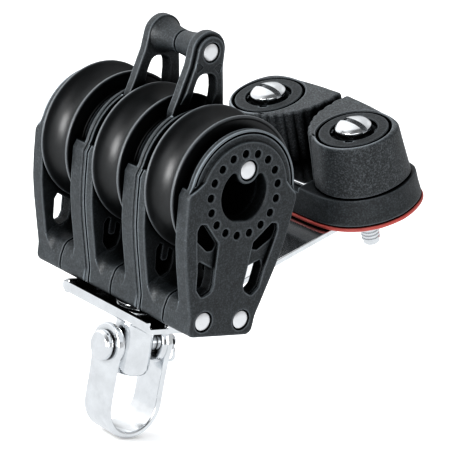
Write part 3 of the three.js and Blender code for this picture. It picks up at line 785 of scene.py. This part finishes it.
def becket_arm():
    """right arm: a plate with a raised face above, and half of the spool at its top"""
    plate = prism(ARM_OUTLINE, round_levels(6.0, 7.95, 0.22, 0.22))
    face = prism(RAISED_FACE, round_levels(7.6, ARM_FACE, 0, 0.18))
    upper = prism(np.array([(-9, 12.9), (9, 12.9), (9, 30), (-9, 30)]), [(7.0, 0), (9.0, 0)])
    # the raised face starts with a slope; stations are (x, height of its lower edge)
    slope = loft([np.array([(x, -9, -1), (x, 9, -1), (x, 9, top), (x, -9, top)])
                  for x, top in ((8.0, 12.0), (8.2, 13.3), (8.8, 15.6), (9.4, 18.0))])
    face = combine(face, ("INTERSECT", upper), ("DIFFERENCE", slope))
    spool = lathe(soft([
        (0.05, 0), (0.05, 2.02), (0.17, 2.06), (0.31, 2.40, 0.08), (1.4, 2.46), (2.6, 2.6),
        (3.8, 2.82), (4.9, 3.12), (5.7, 3.5, 0.6), (6.4, 3.9), (6.4, 0)]), 64, "x",
        (0, 0, BECKET_Z))
    cuts = [prism(ARCH, [(5, 0.7), (6.0, 0.22), (6.22, 0)] + flare(ARM_FACE, 0.2)),
            rod(-1, 9, 1.32, at=(0, 0, BECKET_Z)),
            lathe([(9.2, 0), (9.2, 2.2), (ARM_FACE, 2.06), (8.55, 1.95), (8.05, 1.93),
                   (8.05, 0)], 32, "x", (0, 0, BECKET_Z)),
            prism(HEART, [(0, 0), (10, 0)]),
            rod(0, 10, RIVET_HOLE, at=(0, *RIVET_TOP))]
    # shallow four-cornered sinkings either side of the middle, above the arch
    for side in (1, -1):
        sinking = fillet([(side * 2.75, 19.3, 0.3), (side * 3.2, 21.2, 0.3),
                          (side * 2.45, 21.35, 0.3), (side * 1.35, 20.5, 0.3)])
        cuts.append(prism(sinking, [(ARM_FACE - 0.16, 0)] + flare(ARM_FACE, 0.1)))
    return subtract(unite(plate, face, spool), *cuts)


emit("becket_arm_right", becket_arm(), NYLON)
emit("becket_arm_left", mirror_x(becket_arm()), NYLON)
emit("becket_rivet", rivet(1.2, 1.8, BECKET_RIVET_REACH, 0.6, 0, BECKET_Z), RIVET, angle=40)

# ------------------------------------------------------------------ the cleat's own frame
cam_joint = next(joint for joint in frame["joints"] if joint["name"] == "cam_right_open")
cleat_z = -np.array(cam_joint["axis"], float)
cleat_z /= np.linalg.norm(cleat_z)
cleat_x = np.array([1.0, 0, 0])
cleat_y = np.cross(cleat_z, cleat_x)
cleat_origin = AXLE + np.array([0, 36.1, 9.6])
CLEAT = Matrix((*zip(cleat_x, cleat_y, cleat_z, cleat_origin), (0, 0, 0, 1)))
CLEAT_FROM_AXLE = Matrix.Translation(-Vector(AXLE)) @ CLEAT
CAM_X = 13.5        # cam axes, either side of the middle
CAM_SIDES = (CAM_X, -CAM_X)

# ------------------------------------------------------------------ cam arm
PLATE = 1.2             # sheet thickness
PLATE_TOP = -18.5       # top of the cleat's seat, in the cleat's frame
ARM_HALF_WIDTH = 13.9
# middle line of the bent sheet, (y, z) from the axle
SADDLE_LINE = [(15.5, -20.81), (10.0, -23.32), (10.0, -31.0), (-8.5, -31.0), (-8.5, -29.02)]


def ribbon(line, bend, half):
    """closed outline of a bent strip: its middle line with rounded bends, moved both ways"""
    points = [np.array(line[0], float)]
    for before, corner, after in zip(line, line[1:], line[2:]):
        corner, to_before, to_after, opening, _ = corner_sides(before, corner, after)
        tangent = bend / math.tan(opening / 2)
        points += corner_arc(corner, to_before, to_after, opening, tangent, bend)
    points = np.array(points + [np.array(line[-1], float)])
    tangents = np.gradient(points, axis=0)
    tangents /= np.linalg.norm(tangents, axis=1)[:, None]
    normals = np.c_[-tangents[:, 1], tangents[:, 0]]
    return tidy(np.concatenate([points + normals * half, (points - normals * half)[::-1]]))


def cam_arm():
    levels = round_levels(PLATE_TOP - PLATE, PLATE_TOP, 0.2, 0.2)
    seat = tidy(np.array(arc(CAM_X, 0, 7.4, -90, 90, 24) + arc(-CAM_X, 0, 7.4, 90, 270, 24)))
    arm = prism(rectangle(-ARM_HALF_WIDTH, ARM_HALF_WIDTH, -38.6, -3.0), levels, "z")
    arm = unite(arm, prism(seat, levels, "z"))
    hole_levels = [(-22, 0), (-19.7, 0), (-18.6, 0), (-18.0, 0.25)]
    arm = subtract(arm, *[prism(circle(x, 2.2), hole_levels, "z") for x in CAM_SIDES])
    arm = moved(arm, CLEAT_FROM_AXLE)
    saddle = prism(ribbon(SADDLE_LINE, 1.15, PLATE / 2),
                   round_levels(-ARM_HALF_WIDTH, ARM_HALF_WIDTH, 0.22, 0.22))
    # low tabs at both edges: (start x, end x, front y at the bottom, at the top, radius)
    tabs = [prism(fillet([(low_y, -31.5), (9.9, -31.5), (9.9, -28.8, 0.4),
                          (high_y, -28.8, radius)]), round_levels(start, end, 0.2, 0.2))
            for start, end, low_y, high_y, radius in (
                (12.7, 13.88, -3.5, -3.35, 0.8), (-13.88, -12.7, -8.4, -8.4, 0.0))]
    ear_outline = fillet([(2.2, -31.2), (7.4, -31.2), (7.4, -22.0, 1.8), (-7.4, -22.0, 1.8),
                          (-7.4, -28.1, 0.4), (2.2, -28.1, 0.5)])
    ears = [prism(ear_outline, [(start, 0), (end, 0)])
            for start, end in ((8.15, 8.95), (-8.95, -8.15))]
    arm = unite(arm, saddle, *tabs, *ears)
    return subtract(arm, prism(circle(0, 2.75), [(-33, 0), (-29, 0)], "z"),
                    *[rod(-10, 10, RIVET_HOLE, at=(0, *place)) for place in CAGE_RIVETS[1:]])


emit("cam_arm", cam_arm(), STEEL_PLATE)

# ------------------------------------------------------------------ swivel
AT_PIN = (0, 0, PIN_Z)
post = lathe(soft([
    (-44.2, 0), (-44.2, 3.6, 0.9), (-43.0, 4.0, 0.6), (-32.25, 4.0, 0.3), (-32.2, 2.5),
    (-29.0, 2.5, 0.3), (-29.0, 0)]), 64, "z")
emit("swivel_post", subtract(post, rod(-6, 6, 2.1, 32, "y", AT_PIN)), STEEL)
washer = lathe(soft([(-32.1, 2.66), (-32.1, 4.2, 0.12), (-31.7, 4.2, 0.12), (-31.7, 2.66)]),
               48, "z")
emit("swivel_washer", washer, BALL)
nut = lathe(soft([(-30.3, 2.62), (-30.3, 4.95, 0.25), (-29.25, 4.9, 0.3), (-29.2, 3.6, 0.1),
                  (-29.4, 2.62)]), 48, "z")
emit("swivel_nut", nut, STEEL)

# ------------------------------------------------------------------ shackle
BOW_RADIUS = 6.9        # outside
BOW_THICK = 1.3
BOW_Z = -AXLE[2] + BOW_RADIUS       # centre of the bend; the bow stands on the ground
SPLIT_RING_Y = 8.95     # hole for the split ring, along the pin


def shackle_bow():
    radius = BOW_RADIUS - BOW_THICK / 2
    leg_top = PIN_Z - 1.0
    path = [(0, radius, z) for z in np.linspace(leg_top, BOW_Z, 6)[:-1]]
    path += [(0, radius * math.cos(a), BOW_Z - radius * math.sin(a))
             for a in np.linspace(0, pi, 41)]
    path += [(0, -radius, z) for z in np.linspace(BOW_Z, leg_top, 6)[1:]]
    path = np.array(path)
    tangents = np.gradient(path, axis=0)
    tangents /= np.linalg.norm(tangents, axis=1)[:, None]
    rings = []
    for point, tangent in zip(path, tangents):
        # the strip widens towards the pin
        half = 3.86 + 0.35 * max(0.0, min(1.0, (point[2] - (PIN_Z - 7.5)) / 6.5)) ** 2
        section = rectangle(-half, half, -BOW_THICK / 2, BOW_THICK / 2, radius=0.42, step=24)
        normal = np.array([0, -tangent[2], tangent[1]])
        rings.append(point + section[:, :1] * np.array([1.0, 0, 0]) + section[:, 1:2] * normal)
    ear = soft([(4.75, 0), (4.75, 3.75, 0.35), (BOW_RADIUS - BOW_THICK, 4.0, 0.25),
                (BOW_RADIUS - BOW_THICK, 4.45, 0.3), (BOW_RADIUS, 4.45, 0.42), (BOW_RADIUS, 0)])
    bow = unite(loft(rings), lathe(ear, 64, "y", AT_PIN),
                lathe([(-y, r) for y, r in ear], 64, "y", AT_PIN))
    return subtract(bow, lathe(mirrored([
        (-9, 0), (-9, 2.6), (-BOW_RADIUS, 2.3), (-BOW_RADIUS + 0.3, 2.05)]), 40, "y", AT_PIN))


def shackle_pin():
    pin = lathe(soft([
        (-8.7, 0), (-8.7, 2.55, 0.15), (-8.2, 3.05, 0.2), (-7.35, 3.1, 0.15),
        (-7.02, 2.85, 0.1), (-7.0, 1.9), (7.2, 1.9, 0.15), (7.45, 1.45), (9.9, 1.45, 0.3),
        (10.2, 0.9), (10.2, 0)]), 48, "y", AT_PIN)
    return subtract(pin, rod(-3, 3, 0.85, 20, "x", (0, SPLIT_RING_Y, PIN_Z)))


def split_ring():
    """two turns of wire, closed on themselves where they cross"""
    radius = 2.2
    t = np.linspace(0, 4 * pi, 160, endpoint=False)
    turn_radius = radius + 0.05 * np.sin(t / 2)
    path = np.c_[turn_radius * np.cos(t), turn_radius * np.sin(t), 0.27 * np.sin(t / 2 + 0.3)]
    ring = sweep(path, arc(0, 0, 0.25, 0, 330, 11), closed=True)
    return moved(ring, Matrix.Translation((0, SPLIT_RING_Y, PIN_Z))
                 @ Matrix.Rotation(-math.radians(80), 4, "X")
                 @ Matrix.Translation((0, radius - 0.17, 0)))


emit("shackle_bow", shackle_bow(), STEEL)
emit("shackle_pin", shackle_pin(), STEEL)
emit("split_ring", split_ring(), STEEL, angle=40)

# ------------------------------------------------------------------ cleat plate and base
# right halves of the outlines, (x, y) in the cleat's frame, from low y to high y
PLATE_HALF = [
    (0, -11.3), (5, -11.28), (9.5, -11.2), (13.0, -10.8), (15.8, -10.0), (18.1, -8.8),
    (20.0, -7.3), (21.6, -5.3), (22.8, -3.0), (23.4, -0.6), (23.6, 1.5), (23.2, 4.1),
    (22.2, 6.9), (20.9, 9.0), (19.5, 10.4), (17.7, 11.3), (14.8, 11.8), (8, 11.9), (0, 11.9)]
BASE_TOP_HALF = [
    (0, -9.9), (5, -9.88), (9.5, -9.8), (12.8, -9.6), (15.2, -9.0), (17.4, -7.9),
    (19.2, -6.5), (20.7, -4.7), (21.9, -2.5), (22.5, -0.3), (22.7, 1.5), (22.4, 3.9),
    (21.5, 6.5), (20.3, 8.6), (19.1, 9.8), (17.5, 10.6), (14.7, 10.9), (8, 11.0), (0, 11.0)]
# base stations: z, share of the way from the foot to the top outline, outward offset
BASE_FLANK = [
    (-17.25, 0, -0.12), (-17.12, 0, 0), (-16.7, 0.0, 0), (-16.2, 0.1, 0), (-15.4, 0.36, 0),
    (-14.2, 0.66, 0), (-12.9, 0.88, 0), (-12.3, 0.96, 0), (-11.95, 1, -0.05),
    (-11.78, 1, -0.16), (-11.7, 1, -0.34)]
# wear strip stations: z, low y edge
STRIP_STATIONS = [(-12.6, -8.1), (-12.2, -8.1), (-12.02, -8.0), (-11.9, -7.82),
                  (-11.82, -7.55), (-11.8, -7.2)]


def smooth_outline(half):
    """closed Catmull-Rom curve through the mirrored points, six spans to a point"""
    knots = np.array(mirrored(half), float)
    n, out = len(knots), []
    for i in range(n):
        a, b, c, d = knots[i - 1], knots[i], knots[(i + 1) % n], knots[(i + 2) % n]
        for j in range(6):
            t = j / 6
            out.append(0.5 * (2 * b + (c - a) * t + (2 * a - 5 * b + 4 * c - d) * t * t
                              + (3 * b - a - 3 * c + d) * t ** 3))
    return tidy(np.array(out))


def even_outline(half, count=220):
    """smooth outline walked at even steps, from the point nearest the high y middle"""
    outline = smooth_outline(half)
    first = int(np.argmin(np.abs(outline[:, 0]) + (outline[:, 1] < 0) * 100))
    outline = np.roll(outline, -first, 0)
    loop = np.vstack([outline, outline[:1]])
    walked = np.r_[0, np.cumsum(np.linalg.norm(np.diff(loop, axis=0), axis=1))]
    steps = np.linspace(0, walked[-1], count, endpoint=False)
    return np.c_[np.interp(steps, walked, loop[:, 0]), np.interp(steps, walked, loop[:, 1])]


plate_outline = even_outline(PLATE_HALF)
base_top = even_outline(BASE_TOP_HALF)


def cleat_plate():
    plate = prism(plate_outline, round_levels(-18.25, -17.45, 0.2, 0.28), "z")
    return subtract(plate, *[prism(circle(x, 2.4), [(-19, 0), (-17, 0)], "z")
                             for x in CAM_SIDES])


def cleat_base():
    foot = offset(plate_outline, -0.32)
    base = loft([to_3d(offset(foot * (1 - share) + base_top * share, out), z, "z")
                 for z, share, out in BASE_FLANK])
    channel = prism(rectangle(-4.9, 4.9, -13, 13),
                    [(-12.7, 0), (-12.5, 0), (-11.8, 0), (-11.0, 0.4)], "z")
    return subtract(base, channel, *[prism(circle(x, 2.25), [(-18, 0), (-11, 0)], "z")
                                     for x in CAM_SIDES])


def wear_strip():
    return loft([to_3d(fillet([(-4.7, y, 0.3), (4.7, y, 0.3), (4.7, 8.4, 0.4), (-4.7, 8.4, 0.4)]),
                       z, "z") for z, y in STRIP_STATIONS])


emit("cleat_plate", cleat_plate(), RED, place=CLEAT)
emit("cleat_base", cleat_base(), NYLON, place=CLEAT)
emit("wear_strip", wear_strip(), STEEL, place=CLEAT)

# ------------------------------------------------------------------ cams, about their own axes
CAM_DEPTH = 11.4
# toothed side: minus degrees, radius
CAM_TEETH = np.array([(118, 8.4), (146.6, 9.75), (165.4, 10.8), (196, 13.3), (215, 15.6)])
# smooth side: degrees, radius at the top face, radius at the bottom face
CAM_BACK = np.array([
    [92, 8.35, 9.5], [78, 8.4, 9.85], [62, 8.75, 10.25], [52, 9.1, 10.3], [42, 9.2, 9.85],
    [28, 8.95, 9.3], [14, 8.6, 8.85], [-2, 8.45, 8.55], [-22, 8.4, 8.45], [-44, 8.4, 8.45],
    [-66, 8.4, 8.5], [-84, 8.4, 8.65], [-100, 8.4, 8.9], [-116, 8.4, 9.25]])


def polar(degrees, radius):
    return radius * math.cos(math.radians(degrees)), radius * math.sin(math.radians(degrees))


def cam_outline(low, tooth_depth):
    """outline of the right cam; low goes from 0 at the top face to 1 at the bottom"""
    def back_radius(degrees):
        top, bottom = (float(np.interp(-degrees, -CAM_BACK[:, 0], CAM_BACK[:, column]))
                       for column in (1, 2))
        return top * (1 - low) + bottom * low

    def smoothed(degrees):
        return sum(back_radius(min(92, max(-116, degrees + near)))
                   for near in (-7, -3.5, 0, 3.5, 7)) / 5

    points = [polar(a, smoothed(a)) for a in np.linspace(92, -116, 66)]
    first, last, teeth = -122.0, -214.0, 9
    for i in range(teeth):
        for k in range(8):
            part = k / 8
            a = first + (last - first) * (i + part) / teeth
            dip = 0.5 - 0.5 * math.cos(2 * pi * max(0.0, (part - 0.35) / 0.65))
            lean = low * 0.9 * max(0.0, 1 + (a + 120) / 45)
            radius = float(np.interp(-a, CAM_TEETH[:, 0], CAM_TEETH[:, 1]))
            points.append(polar(a, radius + lean - tooth_depth * dip))
    points += [polar(-215.2, 15.62), polar(-216.6, 15.6), polar(-217.7, 15.3)]
    # nearly straight side from the tip back to the start, in three slightly bowed spans
    knots = [np.array(p) for p in (points[-1], (-10.4, 9.25 + low * 0.25),
                                   (-5.1, 8.95 + low * 0.5), polar(92, smoothed(92)))]
    for start, end, spans, bow in zip(knots, knots[1:], (4, 5, 6), (0.05, 0.06, 0.03)):
        points += [tuple(start + (end - start) * f + np.array([0, bow * math.sin(pi * f)]))
                   for f in np.linspace(0, 1, spans + 1)[1:]]
    return np.array(points[:-1])[::-1].copy()


def cam_body():
    rings = []
    for z, out in ((-CAM_DEPTH, -0.35), (-11.3, -0.12), (-11.05, 0), (-9.6, 0), (-6.5, 0),
                   (-3.2, 0), (-0.75, 0), (-0.42, -0.06), (-0.18, -0.2), (-0.03, -0.42),
                   (0, -0.62)):
        low = -z / CAM_DEPTH
        outline = cam_outline(low, 0.42 + 0.12 * low)
        outline = 0.25 * np.roll(outline, 1, 0) + 0.5 * outline + 0.25 * np.roll(outline, -1, 0)
        rings.append(to_3d(offset(outline, out), z, "z"))
    recess = lathe(soft([(-1.5, 0), (-1.5, 7.68, 0.05), (-0.25, 7.7), (0.0, 7.9), (0.5, 8.4),
                         (0.5, 0)]), 80, "z")
    bore = lathe([(-13, 0), (-13, 6.9), (-11.2, 6.7), (-1.0, 6.7), (-1.0, 0)], 64, "z")
    return subtract(loft(rings), recess, bore)


def cam_hub():
    """hub with a flat disc on top; two tabs and two notches at its inner edge"""
    hub = lathe(soft([
        (-11.5, 2.3), (-11.5, 4.2, 0.15), (-1.35, 4.2), (-1.25, 7.16, 0.1), (-0.2, 7.14, 0.14),
        (-0.02, 6.9), (0.0, 4.98, 0.1), (-0.18, 4.8), (-1.0, 4.75, 0.1), (-1.1, 2.3)]), 80, "z")

    def turned(outline, levels, degrees):
        turn = Matrix.Rotation(math.radians(degrees), 4, "Z")
        return moved(prism(fillet(outline), levels, "z"), turn)

    tab = [(4.25, -0.75, 0.2), (5.1, -0.75), (5.1, 0.75), (4.25, 0.75, 0.2)]
    notch = [(4.4, -0.8, 0.25), (5.5, -0.8, 0.3), (5.5, 0.8, 0.3), (4.4, 0.8, 0.25)]
    hub = unite(hub, *[turned(tab, [(-1.2, 0), (-0.5, 0), (-0.4, -0.1)], a) for a in (35, 215)])
    return subtract(hub, *[turned(notch, [(-0.75, 0), (0.3, 0.05)], a) for a in (-52, 128)])


def screw():
    head = soft([(-0.95, 0), (-0.95, 3.7, 0.08), (0.75, 3.72, 0.35), (1.4, 3.1, 0.8),
                 (1.78, 1.7, 2.0), (1.88, 0)])
    crest, root, thread_pitch = 1.95, 1.7, 0.75
    shank = [(-0.9, 0), (-0.9, 1.9)]
    z = -1.6
    while z > -25.6:
        shank += [(z, crest), (z - 0.25, crest), (z - 0.42, root), (z - 0.58, root)]
        z -= thread_pitch
    shank += [(-26.0, root), (-26.3, 1.35), (-26.3, 0)]
    body = unite(lathe(head, 56, "z"), lathe(shank, 32, "z"))
    return subtract(body, prism(rectangle(-5, 5, -0.62, 0.62),
                                [(0.35, 0), (0.5, 0), (1.9, 0.0), (2.6, 0.05)], "z"))


def cam_spring():
    radius, turns, samples = 5.4, 3.5, 150
    t = np.linspace(0, 2 * pi * turns, samples)
    path = np.c_[radius * np.cos(t), radius * np.sin(t), np.linspace(-10.7, -6.4, samples)]
    return sweep(path, arc(0, 0, 0.36, 0, 324, 9))


for name, side in (("right", 1), ("left", -1)):
    place = CLEAT @ Matrix.Translation((side * CAM_X, 0, 0))
    body = cam_body()
    if side < 0:
        body = mirror_x(body)
    emit(f"cam_{name}", body, NYLON_CAM, angle=32, place=place)
    emit(f"cam_hub_{name}", cam_hub(), NYLON_LID_SHADED, place=place)
    balls = ball_ring(count=7, ball_radius=1.13, pitch_radius=5.45, inner=5.05, outer=5.85,
                      half_width=0.5, axis="z")
    emit(f"cam_balls_{name}", balls, BALL, place=place @ Matrix.Translation((0, 0, -3.4)))
    emit(f"cam_spring_{name}", cam_spring(), SPRING, angle=60, place=place)
    emit(f"screw_{name}", screw(), SCREW, place=place)

# ------------------------------------------------------------------ floor (metres from here on)
FLOOR_HALF = 6
FLOOR_Z = -0.0002


def floor_material():
    """glowing white, but a plain grey to reflections"""
    material, tree, shader = new_material("floor_white")
    feed(tree, shader, {
        "Base Color": (0.93, 0.93, 0.93), "Roughness": 0.9, "Specular IOR Level": 0.1,
        "Emission Color": (1, 1, 1), "Emission Strength": 0.32})
    rays = add_node(tree, "ShaderNodeLightPath")
    grey = add_node(tree, "ShaderNodeEmission", {"Color": (0.95, 0.975, 1.0), "Strength": 0.80})
    mix = add_node(tree, "ShaderNodeMixShader", {
        0: rays.outputs["Is Glossy Ray"], 1: shader.outputs[0], 2: grey.outputs[0]})
    output = next(n for n in tree.nodes if n.type == "OUTPUT_MATERIAL")
    tree.links.new(mix.outputs[0], output.inputs[0])
    return material


floor_mesh = bpy.data.meshes.new("floor")
floor_mesh.from_pydata([(x * FLOOR_HALF, y * FLOOR_HALF, FLOOR_Z) for x, y in (
    (-1, -1), (1, -1), (1, 1), (-1, 1))], [], [(0, 1, 2, 3)])
floor = bpy.data.objects.new("floor", floor_mesh)
scene.collection.objects.link(floor)
floor_mesh.materials.append(floor_material())

# ------------------------------------------------------------------ world
# soft lights in the sky: direction, cosines where each starts and is full, strength
MATT_SKY = 0.19
MATT_LOBES = (((-0.62, -0.74, 0.16), (0.1, 0.95), 2.7), ((-0.2, 0.1, 1.0), (0.3, 0.95), 0.5))
MIRROR_SKY = 0.14
MIRROR_LOBES = (
    ((-0.80, -0.55, 0.10), (0.15, 0.9), 0.72), ((0.4, 0.9, 0.1), (0.3, 0.9), 0.35),
    ((-0.55, 0.25, 0.8), (0.45, 0.92), 0.50), ((0.78, -0.60, 0.12), (0.86, 0.995), 1.8))


def sky(tree, view, base, lobes):
    total = None
    for direction, spread, strength in lobes:
        facing = add_node(tree, "ShaderNodeVectorMath", {
            0: view, 1: Vector(direction).normalized()}, operation="DOT_PRODUCT")
        glow = remap(tree, facing.outputs["Value"], spread, (0.0, strength), "SMOOTHSTEP")
        total = glow if total is None else calc(tree, "ADD", total, glow)
    return calc(tree, "ADD", total, base)


def build_world():
    """one sky for matt light, one for reflections, plain white to the camera"""
    world = bpy.data.worlds.new("studio")
    scene.world = world
    world.use_nodes = True
    tree = world.node_tree
    tree.nodes.clear()
    output = add_node(tree, "ShaderNodeOutputWorld")
    view = add_node(tree, "ShaderNodeTexCoord").outputs["Generated"]
    rays = add_node(tree, "ShaderNodeLightPath")
    matt = sky(tree, view, MATT_SKY, MATT_LOBES)
    mirror = sky(tree, view, MIRROR_SKY, MIRROR_LOBES)
    light = add_node(tree, "ShaderNodeMix", {
        0: rays.outputs["Is Glossy Ray"], 2: matt, 3: mirror})
    lit = add_node(tree, "ShaderNodeBackground", {
        "Color": (0.97, 0.985, 1.0), "Strength": light.outputs[0]})
    white = add_node(tree, "ShaderNodeBackground", {"Color": (1, 1, 1), "Strength": 1.05})
    mix = add_node(tree, "ShaderNodeMixShader", {
        0: rays.outputs["Is Camera Ray"], 1: lit.outputs[0], 2: white.outputs[0]})
    tree.links.new(mix.outputs[0], output.inputs[0])


build_world()


# ------------------------------------------------------------------ lights
def area_light(name, location, target, size, power):
    light = bpy.data.lights.new(name, "AREA")
    light.shape = "RECTANGLE"
    light.size, light.size_y = size
    light.energy = power
    obj = bpy.data.objects.new(name, light)
    obj.location = location
    aim = Vector(target) - Vector(location)
    obj.rotation_euler = aim.to_track_quat("-Z", "Y").to_euler()
    scene.collection.objects.link(obj)
    return obj


key = area_light("key_left", location=(-0.55, -0.42, 0.28), target=(0, 0, 0.05),
                 size=(0.35, 0.5), power=2.9)
key.visible_glossy = False
strip = area_light("strip_low", location=(0.05, -0.33, 0.05), target=(0, 0, 0.05),
                   size=(0.20, 0.24), power=1.5)
strip.visible_camera = False
strip.visible_diffuse = False

# ------------------------------------------------------------------ camera
camera_data = bpy.data.cameras.new("cam")
camera_data.sensor_width = 36.0
camera_data.lens = 220.86
camera_data.clip_start = 0.01
camera_data.clip_end = 50
camera = bpy.data.objects.new("cam", camera_data)
scene.collection.objects.link(camera)
forward = Vector((-0.729, 0.642, -0.2373)).normalized()
right = Vector((0.6199, 0.7663, 0.169))
right = (right - forward * right.dot(forward)).normalized()
down = forward.cross(right)
turn = Matrix((right, -down, -forward)).transposed()
position = Matrix.Translation((0.40594, -0.33881, 0.118 + AXLE[2] * MM))
camera.matrix_world = position @ turn.to_4x4()
scene.camera = camera
scene.view_settings.view_transform = "Standard"
scene.view_settings.look = "Medium High Contrast"
scene.view_settings.exposure = 0.0
